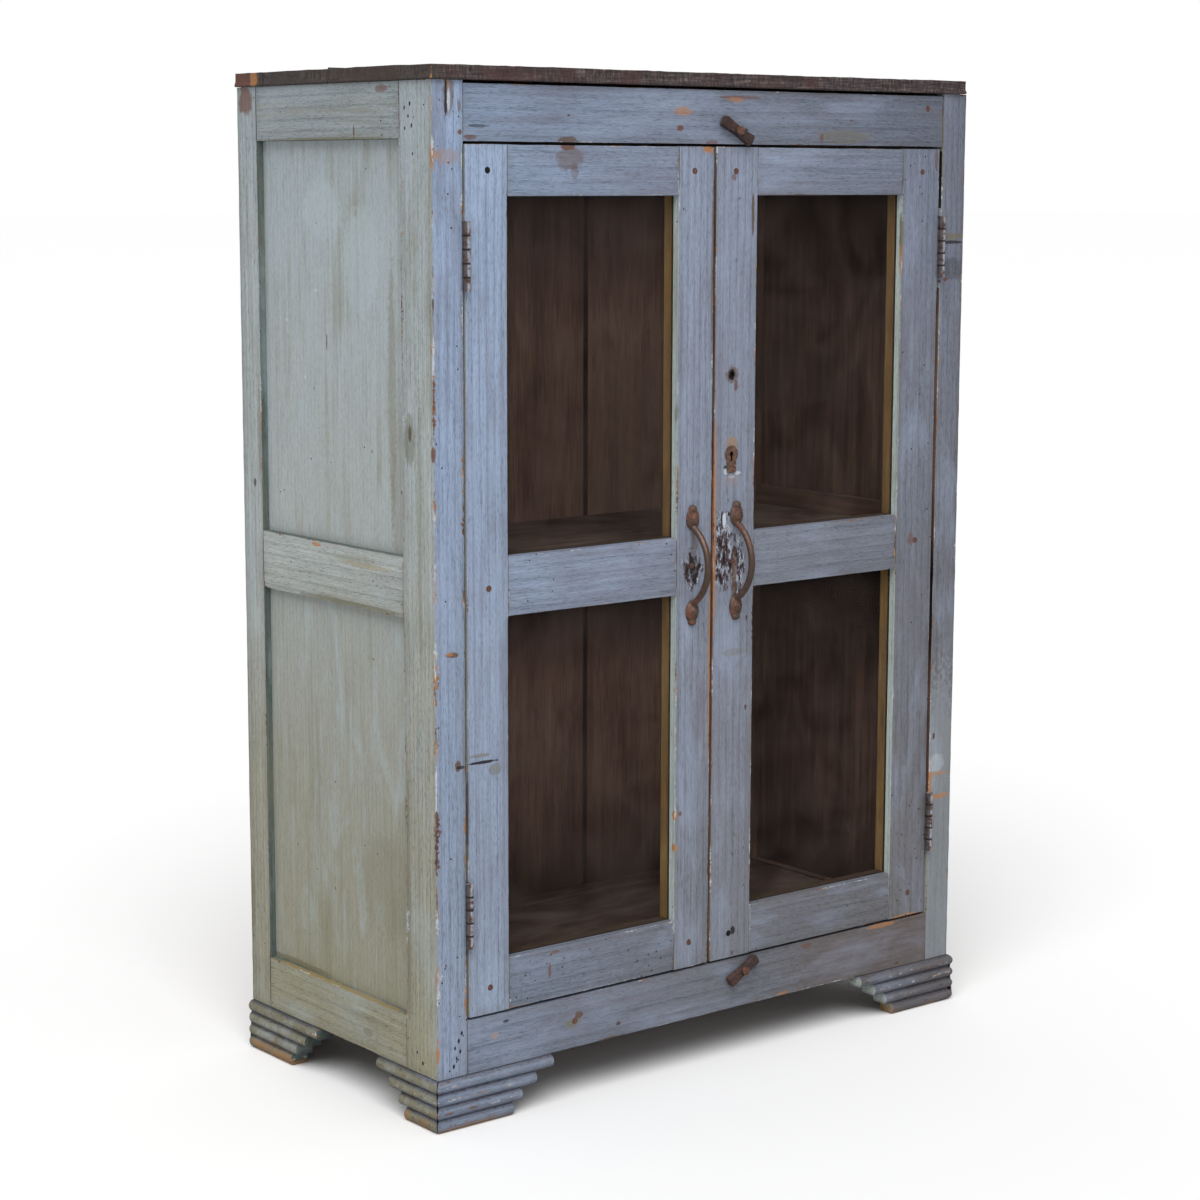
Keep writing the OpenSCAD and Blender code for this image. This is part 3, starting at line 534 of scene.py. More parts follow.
def worm_holes(add, place, from_end):
    """A mask of worm and nail holes, 1.5 mm across, thick near the ends of each member."""
    worm = add("TexVoronoi", {"Vector": place, "Scale": per_mm(WORM_SPACING_MM)})
    chance = add("SeparateColor", (worm.outputs["Color"],))
    near_end = add("MapRange", (from_end, 0.11, 0.03, 0.985, 0.76))
    allowed = add("Math GREATER_THAN", (chance.outputs[1], near_end))
    pin = add("MapRange", (worm.outputs["Distance"], 0.14, 0.09))
    return add("Math MULTIPLY", (allowed, pin))


def rubbed_arrises(add, place, arris, open_edge, ragged, wear):
    """A mask of the arrises that hands and cloths have rubbed bare, in broken lengths."""
    length_field = add("TexNoise", {"Vector": place, "Scale": per_mm(38), "Detail": 2.0})
    reach = add("MapRange", (length_field, 0.42, 0.72, 0.0003, 0.0024 * wear))
    reach = add("Math MULTIPLY", (reach, open_edge))
    broken = add("MapRange", (ragged, 0.35, 0.65, 0.05, 1.5))
    reach = add("Math MULTIPLY", (reach, broken))
    return add("MapRange", (add("Math SUBTRACT", (reach, arris)), 0.0, 0.0006))


def worn_reeds(add, colour, spot, turned, ragged, flake_field, narrow, worn_wood):
    """Painted shade in the hollows between the reeds, specks of dirt by them, crests rubbed to the wood,
    and bare wood at the floor.
    """
    from_hollow = add("Math PINGPONG", (spot.outputs["Z"], REED_MM * MM / 2))
    hollow_shade = add("MapRange", (from_hollow, 0.0042, 0.0, 0.0, 0.62))
    speck = add("MapRange", (from_hollow, 0.0052, 0.0018))
    gritty = add("MapRange", {0: ragged, 1: 0.56, 2: 0.62, 4: 0.8})
    speck = add("Math MULTIPLY", (speck, gritty))
    crest = add("MapRange", (from_hollow, 0.0052, 0.0072))
    flaking = add("MapRange", (flake_field, 0.54, 0.60))
    crest = add("Math MULTIPLY", (crest, flaking))
    # The sides of the feet are bare higher up than their fronts.
    bare_height = add("MapRange", {0: turned, 3: 0.007, 4: 0.020})
    ground = add("MapRange", (spot.outputs["Z"], bare_height, 0.0, 0.0, 1.6))
    patchy = add("MapRange", (narrow, 0.40, 0.52))
    ground = add("Math MULTIPLY", (ground, patchy), use_clamp=True)
    for mask, over in ((hollow_shade, linear("#45424f")), (speck, linear("#4a352c")), (crest, worn_wood),
                       (ground, linear("#8c6a45"))):
        colour = add("Mix", {0: mask, 6: colour, 7: over})
    return colour


def painted_teak(name, grain, marks=(), flaked=(), wear=1.0, brushed=1.0, reeds=False):
    """Oil paint brushed on open-grained teak and left for decades. The eye gets fine bristle lines
    and pores along the grain, chalky and dirty clouds, orange wood where arrises have rubbed bare,
    and worm holes near the joints."""
    material, add = new_material(name)
    texture = add("TexCoord")
    where = texture.outputs["Object"]
    facing = add("SeparateXYZ", (texture.outputs["Normal"],))
    spot = add("SeparateXYZ", (where,))
    place = own_place(add, where)
    turned = add("Math ABSOLUTE", (facing.outputs["X"],))
    turned = add("MapRange", (turned, 0.5, 0.8))
    open_edge = add("Attribute", attribute_name="open").outputs["Fac"]
    arris, from_end = arris_distance(add, where)

    fields = grain_fields(add, place, grain, 0.3 if brushed == 1.0 else 1.2)
    bristle, drag, wide, narrow, pores, rings = fields
    coat, sideways = coat_by_side(add, spot, turned)
    colour = brushed_coat(add, coat, sideways, fields, brushed)
    colour = dirty_joints(add, colour, arris, drag, open_edge)

    flake_field = add("TexNoise", {
        "Vector": along(add, place, grain, 2.6), "Scale": per_mm(5), "Detail": 5.0, "Roughness": 0.72})
    flakes = add("ValToRGB", (flake_field,), stops=FLAKES)
    for centre, size in flaked:
        patch = ragged_spot(add, where, centre, size, 0.9, 8)
        colour = add("Mix", {0: patch, 6: colour, 7: flakes})
    colour = marked(add, colour, where, marks)

    ragged = add("TexNoise", {"Vector": place, "Scale": per_mm(4), "Detail": 4.0, "Roughness": 0.7})
    worn_wood = add("ValToRGB", (narrow,), stops=RUBBED_WOOD)
    rubbed = rubbed_arrises(add, place, arris, open_edge, ragged, wear)
    chipped = small_chips(add, place, grain)
    holes = worm_holes(add, place, from_end)
    for mask, over in ((rubbed, worn_wood), (chipped, linear("#5b3f3a")), (holes, linear("#1c1719"))):
        colour = add("Mix", {0: mask, 6: colour, 7: over})

    # Faces inside the case were never painted.
    bare = add("Attribute", attribute_name="bare").outputs["Fac"]
    wood = add("ValToRGB", (add("Math MULTIPLY", (drag, narrow)),),
               stops=[(0.12, "#3a2823"), (0.25, "#5c443a"), (0.4, "#806351")])
    # The bare wood inside gets painted shade, darkest under the shelf and the top.
    wood = with_painted_shade(add, wood, spot.outputs["Z"], turned)
    colour = add("Mix", {0: bare, 6: colour, 7: wood})
    if reeds:
        colour = worn_reeds(add, colour, spot, turned, ragged, flake_field, narrow, worn_wood)

    lost = add("Math MAXIMUM", (rubbed, chipped))
    roughness = add("MapRange", (drag, 0.3, 0.7, 0.52, 0.74))
    height = 0.0
    for field, weight in ((bristle, 0.9 * brushed), (pores, -0.45), (rings, 0.12), (lost, -0.6),
                          (holes, -2.0)):
        height = add("Math MULTIPLY_ADD", (field, weight, height))
    painted = add("Math SUBTRACT", (1.0, bare))
    height = add("Math MULTIPLY", (height, painted))
    finish_surface(add, colour, roughness, height, 0.5, 0.7)
    return material


# ---- other wood ----

BACK_BOARD_MM = 135
FIRST_SEAM_MM = 106


def bare_teak(name, grain, dark, mid, light, dust=0.2, seams=False, dark_front=False):
    """Unfinished teak gone brown with age: long pores and ring figure, a thin coat of grey dust."""
    material, add = new_material(name)
    texture = add("TexCoord")
    where = texture.outputs["Object"]
    facing = add("SeparateXYZ", (texture.outputs["Normal"],))
    spot = add("SeparateXYZ", (where,))
    fibre = add("TexNoise", {
        "Vector": along(add, where, grain, 30), "Scale": per_mm(1.6), "Detail": 4.0, "Roughness": 0.65})
    bands = add("TexNoise", {"Vector": along(add, where, grain, 14), "Scale": per_mm(14), "Detail": 3.0})
    patches = add("TexNoise", {
        "Vector": along(add, where, grain, 2), "Scale": per_mm(90), "Detail": 4.0, "Roughness": 0.62,
        "Distortion": 0.8})
    mixed = 0.0
    for field, weight in ((patches, 0.35), (bands, 0.35), (fibre, 0.45)):
        mixed = add("Math MULTIPLY_ADD", (field, weight, mixed))
    wood = add("ValToRGB", (mixed,), stops=[(0.42, dark), (0.57, mid), (0.72, light)])
    settled = add("MapRange", (patches, 0.45, 0.70, 0.0, dust))
    colour = add("Mix", {0: settled, 6: wood, 7: linear("#8b8378")})
    if dark_front:
        # Putty and dirt have blackened every face of a bead but the one that looks sideways.
        sideways = add("Math ABSOLUTE", (facing.outputs["X"],))
        clean = add("MapRange", (sideways, 0.5, 0.7))
        colour = add("Mix", {0: clean, 6: linear("#3c2e20"), 7: colour})
    if seams:
        # Shadow in the tongue-and-groove joints between the back boards, and painted shade on their fronts.
        from_first = add("Math SUBTRACT", (spot.outputs["X"], at(FIRST_SEAM_MM, 0, 0).x))
        from_seam = add("Math PINGPONG", (from_first, BACK_BOARD_MM * MM / 2))
        seam = add("MapRange", (from_seam, 0.0046, 0.0034))
        colour = add("Mix", {0: seam, 6: colour, 7: linear("#120d0d")})
        inward = add("MapRange", (facing.outputs["Y"], 0.0, -0.5))
        colour = with_painted_shade(add, colour, spot.outputs["Z"], inward)
    height = add("Math ADD", (fibre, bands))
    finish_surface(add, colour, 0.75, height, 0.4, 0.7)
    return material


def top_teak():
    """Bare top boards, black-brown from weather: saw marks across the edges, grey fibres, rust-red
    patches."""
    material, add = new_material("weathered_top_teak")
    where = add("TexCoord").outputs["Object"]
    spot = add("SeparateXYZ", (where,))
    fibre = add("TexNoise", {
        "Vector": along(add, where, "x", 18), "Scale": per_mm(1.8), "Detail": 5.0, "Roughness": 0.7})
    # Saw marks, about 2.4 mm apart, stand upright on the edges.
    saw = add("TexNoise", {
        "Vector": along(add, where, "z", 4), "Scale": per_mm(2.4), "Detail": 4.0, "Roughness": 0.7})
    patches = add("TexNoise", {"Vector": where, "Scale": per_mm(60), "Detail": 5.0, "Roughness": 0.65})
    mixed = add("Math ADD", (fibre, saw))
    halved = add("Math MULTIPLY", (mixed, 0.5))
    wood = add("ValToRGB", (halved,), stops=[
        (0.36, "#181314"), (0.46, "#382e2f"), (0.54, "#4d4142"), (0.65, "#776a64")])
    red = add("MapRange", (patches, 0.50, 0.62, 0.0, 0.55))
    # The left end, over the yellowed side, has gone green.
    green = add("MapRange", (spot.outputs["X"], at(20, 0, 0).x, at(-1, 0, 0).x, 0.0, 0.45))
    colour = wood
    for mask, code in ((red, "#4c302c"), (green, "#3d3a32")):
        colour = add("Mix", {0: mask, 6: colour, 7: linear(code)})
    colour = marked(add, colour, where, (
        ("raw", (-3, 352, 1108), (9, 9, 9), 0.7), ("raw", (-3, -3, 1109), (1.6, 2.4, 14), 0.75),
        ("rust", (-2, 378, 1108), (9, 16, 14), 0.7)))
    finish_surface(add, colour, 0.8, mixed, 0.9, 0.9)
    return material


# The upper peg of the left door's hinge stile and the lowest of the right door's meeting stile.
FALLEN_PEGS = ((73, 0, 1005), (433, 0, 96))


def peg_end_grain():
    """Ends of hardwood pegs: dark red-brown, porous, two of them fallen in and black."""
    material, add = new_material("peg_end_grain")
    where = add("TexCoord").outputs["Object"]
    pits = add("TexNoise", {"Vector": where, "Scale": per_mm(1.6), "Detail": 4.0, "Roughness": 0.7})
    colour = add("ValToRGB", (pits,), stops=[(0.35, "#33211d"), (0.5, "#5c3c33"), (0.65, "#7d5342")])
    for centre in FALLEN_PEGS:
        hole = ragged_spot(add, where, centre, (9, 9, 9), 0.1)
        colour = add("Mix", {0: hole, 6: colour, 7: linear("#171213")})
    finish_surface(add, colour, 0.8, pits, 0.5)
    return material


# ---- iron and glass ----

# Hinges: the length of one knuckle, and the heights of the hinges' lower ends.
KNUCKLE_MM = 15
HINGE_LOWS_MM = (147, 876)


def rusty_iron(name, rubbed_amount, orange, crusts=("#2a1d1b", "#4a332b", "#6a4838", "#8a6350")):
    """Wrought iron that has rusted and been handled: brown-black crust, orange bloom, and a dull
    pinkish shine where hands have rubbed it."""
    material, add = new_material(name)
    where = add("TexCoord").outputs["Object"]
    crust = add("TexNoise", {"Vector": where, "Scale": per_mm(2.2), "Detail": 5.0, "Roughness": 0.7})
    bloom = add("TexNoise", {"Vector": where, "Scale": per_mm(14), "Detail": 4.0, "Roughness": 0.65})
    base = add("ValToRGB", (crust,), stops=list(zip((0.30, 0.46, 0.58, 0.72), crusts)))
    fresh = add("MapRange", (bloom, 0.46, 0.66, 0.0, orange))
    colour = add("Mix", {0: fresh, 6: base, 7: linear("#82482b")})
    # Hands have cleaned the parts that stand proud.
    rub_field = add("TexNoise", {"Vector": where, "Scale": per_mm(22), "Detail": 3.0})
    depth = add("SeparateXYZ", (where,)).outputs["Y"]
    proud = add("MapRange", (depth, at(0, -9, 0).y, at(0, -22, 0).y, 0.0, 0.16))
    rub_field = add("Math ADD", (rub_field, proud))
    rub = add("MapRange", (rub_field, 0.46, 0.68, 0.0, rubbed_amount))
    colour = add("Mix", {0: rub, 6: colour, 7: linear("#6f5f56")})
    metal = add("Math MULTIPLY", (rub, 0.8))
    roughness = add("MapRange", (rub, 0.0, 1.0, 0.72, 0.34))
    finish_surface(add, colour, roughness, crust, 0.5, 0.8, Metallic=metal)
    return material


def painted_hinge():
    """Iron butt hinges painted over with the case and chipped on the knuckles."""
    material, add = new_material("painted_over_hinge_iron")
    texture = add("TexCoord")
    where = texture.outputs["Object"]
    facing = add("SeparateXYZ", (texture.outputs["Normal"],))
    up = add("SeparateXYZ", (where,)).outputs["Z"]
    chips = add("TexNoise", {"Vector": where, "Scale": per_mm(7), "Detail": 3.0, "Roughness": 0.6})
    colour = add("ValToRGB", (chips,), stops=[
        (0.34, "#4a342e"), (0.44, "#6d554d"), (0.49, "#8b8588"), (0.60, "#9599a5"), (0.75, "#747988")])
    # The side of the knuckles that faces left is darkened: painted shade.
    knuckle_left_shade = add("MapRange", (facing.outputs["X"], -0.25, -0.6, 0.0, 0.85))
    colour = add("Mix", {0: knuckle_left_shade, 6: colour, 7: linear("#3b302e")})
    # Dark rings where one knuckle ends and the next begins.
    for low in HINGE_LOWS_MM:
        for step in range(1, 5):
            joint = at(0, 0, low + step * KNUCKLE_MM).z
            away = add("Math ABSOLUTE", (add("Math SUBTRACT", (up, joint)),))
            ring = add("MapRange", (away, 0.0016, 0.0008, 0.0, 0.95))
            colour = add("Mix", {0: ring, 6: colour, 7: linear("#2b201d")})
    finish_surface(add, colour, 0.6, chips, 0.4)
    return material


def dusty_window_glass():
    """Old drawn sheet glass, soda-lime, under a film of dust that has been wiped thin in swirls."""
    material, add = new_material("dusty_window_glass")
    where = add("TexCoord").outputs["Object"]
    swirl = add("TexNoise", {
        "Vector": where, "Scale": per_mm(110), "Detail": 6.0, "Roughness": 0.62, "Distortion": 1.6})
    film = add("MapRange", (swirl, 0.38, 0.72, 0.04, 0.15))
    speckle = add("TexNoise", {"Vector": where, "Scale": per_mm(6), "Detail": 3.0})
    uneven = add("MapRange", (speckle, 0.3, 0.7, 0.85, 1.15))
    film = add("Math MULTIPLY", (film, uneven))
    finish_surface(add, linear("#5a4c46"), 0.12, IOR=1.52, Alpha=film)
    return material


# ---- the frame: posts, rails, stiles ----

# Marks are a kind, a centre and half sizes in millimetres from the case's corner, and an amount.
upright = painted_teak("painted_teak_upright", "z", marks=(
    ("rust", (0, 375, 1084), (4, 15, 17), 0.75), ("olive", (0, 390, 125), (4, 7, 45), 0.5),
    ("brown", (0, 356, 700), (4, 3, 60), 0.35), ("dark", (0, 368, 640), (4, 3, 5), 0.7)))
crosswise = painted_teak("painted_teak_crosswise", "x")
fore_and_aft = painted_teak("painted_teak_fore_and_aft", "y", marks=(
    ("ochre", (2, 205, 63), (6, 150, 2.6), 0.75), ("olive", (0, 170, 519), (4, 105, 3.5), 0.6),
    # The first olive line here, along the top rail's lower edge by the panel, is partly dirt and partly a
    # painted shadow line.
    ("olive", (0, 205, 1038.5), (4, 150, 2.4), 0.7), ("brown", (0, 149, 1047), (3, 1.5, 7), 0.9),
    ("raw", (0, 236, 580), (4, 9, 2.5), 0.8), ("ochre", (0, 130, 566), (4, 50, 3), 0.4),
    ("rust", (0, 95, 1092), (4, 12, 4), 0.6), ("brown", (0, 140, 22), (4, 10, 5), 0.35)))

left_post_paint = painted_teak("painted_teak_left_post", "z", wear=2.5, marks=(
    ("dark", (0, 38, 1052), (4, 1.3, 2.4), 1.0), ("dark", (0, 44, 1062), (4, 1.3, 2.0), 1.0),
    ("dark", (0, 50, 1049), (4, 1.3, 2.2), 1.0), ("dark", (0, 41, 1075), (4, 1.5, 2.6), 1.0),
    ("dark", (0, 51, 1071), (4, 1.3, 2.4), 1.0), ("dark", (0, 37, 1022), (4, 1.2, 1.8), 0.9),
    ("dark", (0, 30, 14), (4, 1.6, 2.4), 1.0), ("dark", (0, 41, 24), (4, 1.3, 1.8), 1.0),
    ("brown", (-1, 0, 870), (3.2, 3.2, 34), 0.9), ("primer", (-1, 0, 800), (3.2, 3.2, 26), 0.9),
    ("primer", (-1, 0, 330), (3.0, 3.0, 40), 0.8), ("brown", (-1, 0, 200), (3.0, 3.0, 30), 0.8),
    ("raw", (-1, 0, 560), (2.8, 2.8, 26), 0.9),
    ("brown", (22, 0, 1084), (7, 6, 22), 0.6), ("dark", (19, 0, 1080), (1.8, 6, 20), 0.9),
    ("primer", (22.5, 0, 1080), (2.0, 6, 14), 0.75), ("raw", (22, 0, 1096), (1.2, 6, 9), 0.9),
    ("raw", (0, 0, 1022), (3.0, 4, 17), 1.0), ("raw", (7, 0, 1021), (7, 4, 4.5), 0.45),
    ("raw", (-1, 0, 1074), (2.6, 2.6, 20), 0.95), ("brown", (36, 0, 1072), (2.0, 4, 7), 0.6),
    ("pink", (20, 0, 1019), (16, 5, 9), 0.5), ("rust", (37, 0, 1045), (2.5, 5, 2.5), 0.9),
    ("brown", (24, 0, 481), (9, 5, 3.0), 0.9), ("raw", (20, 0, 482), (5, 5, 2.0), 0.8),
    ("dark", (22, 0, 13), (1.4, 5, 2.6), 1.0), ("dark", (26, 0, 22), (1.4, 5, 2.6), 1.0),
    ("dark", (31, 0, 29), (1.4, 5, 2.6), 1.0), ("dark", (24, 0, 34), (1.4, 5, 2.4), 1.0),
    ("dark", (29, 0, 42), (1.4, 5, 2.6), 1.0), ("dark", (33, 0, 50), (1.4, 5, 2.6), 1.0),
    ("brown", (30, 0, 356), (4, 5, 7), 0.9), ("dark", (34, 0, 354), (6, 5, 2.0), 0.8),
    ("rust", (-1, 2, 702), (4, 4, 10), 0.9), ("raw", (-1, 1, 30), (4, 4, 12), 0.9),
    ("dark", (0, 46, 722), (6, 3, 9), 0.85), ("olive", (0, 46, 715), (6, 10, 28), 0.5),
    ("olive", (0, 55, 200), (5, 4, 150), 0.5), ("olive", (0, 28, 620), (5, 5, 160), 0.35)))
right_post_paint = painted_teak("painted_teak_right_post", "z", wear=1.4, marks=(
    # This pale patch low on the post lightens the painted shade of the front's lower right.
    ("bloom", (789, 0, 150), (40, 8, 230), 0.28),
    ("olive", (790, 0, 926), (26, 5, 4.0), 0.7), ("dark", (788, 0, 919), (24, 5, 2.0), 0.8),
    ("dark", (790, 0, 886), (22, 5, 14), 0.35), ("rust", (768, 0, 871), (3, 5, 2.5), 0.9),
    ("rust", (779, 0, 873), (3, 5, 2.5), 0.9), ("raw", (770, 0, 240), (5, 5, 28), 0.9),
    ("raw", (788, 0, 214), (18, 5, 3.5), 0.7), ("primer", (783, 0, 258), (13, 5, 12), 0.3),
    ("raw", (787, 0, 244), (14, 5, 3.0), 0.5),
    ("olive", (769, 0, 1020), (2.6, 5, 60), 0.8)))
top_rail_paint = painted_teak("painted_teak_front_top_rail", "x", marks=(
    ("brown", (183, 0, 1037), (14, 5, 5), 0.8), ("dark", (62, 0, 1052), (13, 5, 2.0), 0.6),
    ("rust", (51, 0, 1040), (9, 5, 2.6), 0.7),
    ("raw", (349, 0, 1072), (13, 5, 5), 0.6), ("rust", (345, 0, 1053), (5, 5, 3.4), 0.9),
    ("rust", (434, 0, 1089), (34, 5, 1.8), 0.7), ("raw", (428, 0, 1086), (12, 5, 3.0), 0.6),
    ("dark", (444, 0, 1052), (4, 5, 2.2), 0.7), ("olive", (600, 0, 1046), (45, 5, 8), 0.45),
    ("rust", (565, 0, 1044), (3, 5, 6), 0.6), ("rust", (393, 0, 1037), (9, 5, 3), 0.6)))
bottom_rail_paint = painted_teak("painted_teak_front_bottom_rail", "x", marks=(
    ("brown", (200, 0, 38), (6, 5, 4.5), 0.9), ("olive", (191, 0, 30), (11, 5, 6), 0.6),
    ("pink", (79, 0, 38), (5, 5, 4), 0.8), ("dark", (95, 0, 52), (4, 5, 1.6), 0.8),
    ("brown", (246, 0, 1), (14, 5, 2.0), 0.8), ("rust", (560, 0, 57), (8, 5, 3), 0.7),
    # This broad brown patch darkens the rail's right half: partly painted shade of the front's lower right.
    ("brown", (700, 0, 28), (170, 8, 70), 0.3),
    ("raw", (690, 0, 60), (26, 5, 3), 0.6), ("raw", (520, 0, 3), (12, 5, 2), 0.6)))
left_hinge_paint = painted_teak("painted_teak_left_hinge_stile", "z", marks=(
    ("dark", (64, 0, 356), (20, 5, 1.8), 0.95), ("olive", (60, 0, 364), (14, 5, 2.2), 0.6),
    ("olive", (80, 0, 346), (9, 5, 7), 0.5), ("dark", (43, 0, 300), (1.6, 5, 60), 0.6)))
left_meeting_paint = painted_teak("painted_teak_left_meeting_stile", "z", wear=1.3, marks=(
    ("raw", (388, 0, 1030), (8, 5, 4.5), 0.9), ("raw", (345, 2, 254), (3, 4, 6), 0.9),
    ("raw", (345, 2, 214), (3, 4, 5), 0.9), ("brown", (352, 0, 255), (3, 5, 3), 0.8),
    ("brown", (395, 0, 900), (1.6, 5, 90), 0.6), ("raw", (396, 0, 420), (2.0, 5, 110), 0.9),
    ("olive", (345, 3, 730), (2.5, 3, 12), 0.6), ("brown", (370, 0, 578), (5, 5, 22), 0.45),
    ("dark", (368, 0, 548), (11, 5, 15), 0.6)),
    flaked=(((368, 0, 545), (14, 5, 20)),))
right_meeting_paint = painted_teak("painted_teak_right_meeting_stile", "z", wear=1.2, marks=(
    ("raw", (402, 0, 590), (2.2, 5, 130), 0.7), ("tan", (428, 0, 690), (9, 5, 8), 0.85),
    # Inside the keyhole, painted black: painted shade in the hole.
    ("dark", (426.5, 7, 675), (7, 14, 10), 1.0),
    ("brown", (427, 0, 770), (10, 5, 9), 0.7), ("dark", (426.5, 0, 770), (6, 9, 6), 1.0),
    ("rust", (433, 0, 758), (3, 5, 7), 0.8), ("primer", (419, 0, 657), (3.5, 5, 4), 0.8),
    ("primer", (437, 0, 654), (5, 5, 2.2), 0.7), ("primer", (428, 0, 650), (6, 5, 1.8), 0.5),
    ("pink", (428, 0, 646), (12, 5, 7), 0.35), ("dark", (418, 0, 662), (3, 5, 2.2), 0.8),
    ("brown", (433, 0, 528), (4, 5, 36), 0.75), ("dark", (414, 0, 601), (2.6, 5, 9), 0.9),
    ("brown", (457, 1, 956), (2.2, 4, 26), 0.9), ("olive", (432, 0, 440), (17, 5, 5), 0.35),
    ("primer", (417, 0, 600), (3.0, 5, 9), 1.0), ("dark", (437, 0, 98), (4, 5, 5), 0.9),
    ("rust", (427, 0, 998), (4, 5, 4), 0.6)),
    flaked=(((417, 0, 562), (15, 5, 46)), ((437, 0, 545), (11, 5, 36))))
right_hinge_paint = painted_teak("painted_teak_right_hinge_stile", "z", marks=(
    ("olive", (702, 1, 930), (2.4, 4, 28), 0.9), ("raw", (702, 1, 900), (2.0, 4, 20), 0.6),
    ("rust", (727, 0, 552), (6, 5, 8), 0.5), ("rust", (759, 0, 1022), (3, 5, 14), 0.6),
    ("raw", (730, 0, 66), (22, 5, 2.4), 0.6)))
left_door_top_paint = painted_teak("painted_teak_left_door_top_rail", "x", marks=(
    ("rust", (183, 0, 1031), (11, 5, 4), 0.9), ("brown", (186, 0, 1018), (19, 5, 14), 0.5),
    ("brown", (193, 0, 1004), (5, 5, 10), 0.4)))
left_door_bottom_paint = painted_teak("painted_teak_left_door_bottom_rail", "x", marks=(
    ("rust", (158, 0, 100), (2.2, 5, 9), 0.7), ("rust", (166, 0, 120), (7, 5, 2.2), 0.6)))



def between(first, second, axis):
    """Where a rail between two members has its shoulders: its body without the tenons."""
    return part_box(first)[1][axis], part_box(second)[0][axis]


FRONT_BODY = between("front_left_post", "front_right_post", X)
LEFT_DOOR_BODY = between("left_hinge_stile", "left_meeting_stile", X)
RIGHT_DOOR_BODY = between("right_meeting_stile", "right_hinge_stile", X)
SIDE_BODY = between("front_left_post", "rear_left_post", Y)

# Pieces that meet flush: their shared edges stay tight.
JOINED = [
    "front_left_post", "front_right_post", "rear_left_post", "rear_right_post", "front_top_rail",
    "front_bottom_rail", "left_top_rail", "left_mid_rail", "left_bottom_rail", "right_top_rail",
    "right_mid_rail", "right_bottom_rail", "left_hinge_stile", "left_meeting_stile", "left_door_top_rail",
    "left_door_mid_rail", "left_door_bottom_rail", "right_hinge_stile", "right_meeting_stile",
    "right_door_top_rail", "right_door_mid_rail", "right_door_bottom_rail", "top_boards",
    "front_left_foot", "front_right_foot", "rear_left_foot", "rear_right_foot"]
# Node, the axis of its length, its paint, its lightness, its body without tenons.
# Lightness below 1 on the rails is partly painted shade: the top rails lie under the top, and the rails are
# lit less than the stiles.
MEMBERS = [
    ("front_left_post", Z, left_post_paint, 1.0, None),
    ("front_right_post", Z, right_post_paint, 1.0, None),
    ("rear_left_post", Z, upright, 1.0, None),
    ("rear_right_post", Z, upright, 0.95, None),
    ("front_top_rail", X, top_rail_paint, 0.74, FRONT_BODY),
    ("front_bottom_rail", X, bottom_rail_paint, 0.80, FRONT_BODY),
    ("left_top_rail", Y, fore_and_aft, 0.82, SIDE_BODY),
    ("left_mid_rail", Y, fore_and_aft, 1.03, SIDE_BODY),
    ("left_bottom_rail", Y, fore_and_aft, 0.95, SIDE_BODY),
    ("right_top_rail", Y, fore_and_aft, 0.82, SIDE_BODY),
    ("right_mid_rail", Y, fore_and_aft, 1.0, SIDE_BODY),
    ("right_bottom_rail", Y, fore_and_aft, 0.92, SIDE_BODY),
    ("left_hinge_stile", Z, left_hinge_paint, 1.03, None),
    ("left_meeting_stile", Z, left_meeting_paint, 1.0, None),
    ("left_door_top_rail", X, left_door_top_paint, 0.80, LEFT_DOOR_BODY),
    ("left_door_mid_rail", X, crosswise, 0.90, LEFT_DOOR_BODY),
    ("left_door_bottom_rail", X, left_door_bottom_paint, 0.76, LEFT_DOOR_BODY),
    ("right_hinge_stile", Z, right_hinge_paint, 1.0, None),
    ("right_meeting_stile", Z, right_meeting_paint, 1.0, None),
    ("right_door_top_rail", X, crosswise, 0.90, RIGHT_DOOR_BODY),
    ("right_door_mid_rail", X, crosswise, 0.97, RIGHT_DOOR_BODY),
    ("right_door_bottom_rail", X, crosswise, 0.88, RIGHT_DOOR_BODY),
]
for member, axis, finish, tone, body in MEMBERS:
    # The two stiles that meet are 3 mm apart, so their arrises stay crisp and the gap even.
    radius, dent = (0.6, 0.5) if "meeting" in member else (1.1, 0.9)
    worn_member(member, axis, finish, tone, body, radius, dent)

# ---- side panels ----

side_panel_paint = painted_teak("painted_teak_side_panel", "z", brushed=0.4, marks=(
    ("primer", (9, 244, 870), (4, 1.6, 1.8), 1.0), ("primer", (9, 306, 834), (4, 1.2, 1.6), 1.0),
    ("primer", (9, 268, 770), (4, 1.2, 2.2), 0.9), ("olive", (9, 92, 760), (4, 7, 150), 0.4),
    ("bloom", (9, 150, 905), (4, 36, 60), 0.5), ("bloom", (9, 228, 960), (4, 40, 34), 0.5),
    ("olive", (9, 75, 640), (4, 18, 110), 0.3), ("olive", (9, 110, 200), (4, 60, 60), 0.25),
    ("dark", (9, 222, 812), (4, 1.4, 9), 0.6), ("olive", (9, 300, 66), (5, 70, 4), 0.7)))
for node, tone in (("left_upper_panel", 1.0), ("left_lower_panel", 0.95),
                   ("right_upper_panel", 1.0), ("right_lower_panel", 0.95)):
    panel = merged_copy(node, node + "_wiped")
    slice_up(panel, Z, SLICE_MM)
    slice_up(panel, Y, SLICE_MM)
    press_in(panel, lumps("warp", 160), 0.6)
    # Grooves hide a panel's arrises, so its paint takes them to be far out.
    low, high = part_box(node)
    far_out = Vector((0, 200, 200)) * MM
    note_for_finish(panel, low - far_out, high + far_out, tone, 0.61 * len(bpy.data.meshes))
    settle(panel, node, side_panel_paint)

# ---- the top ----

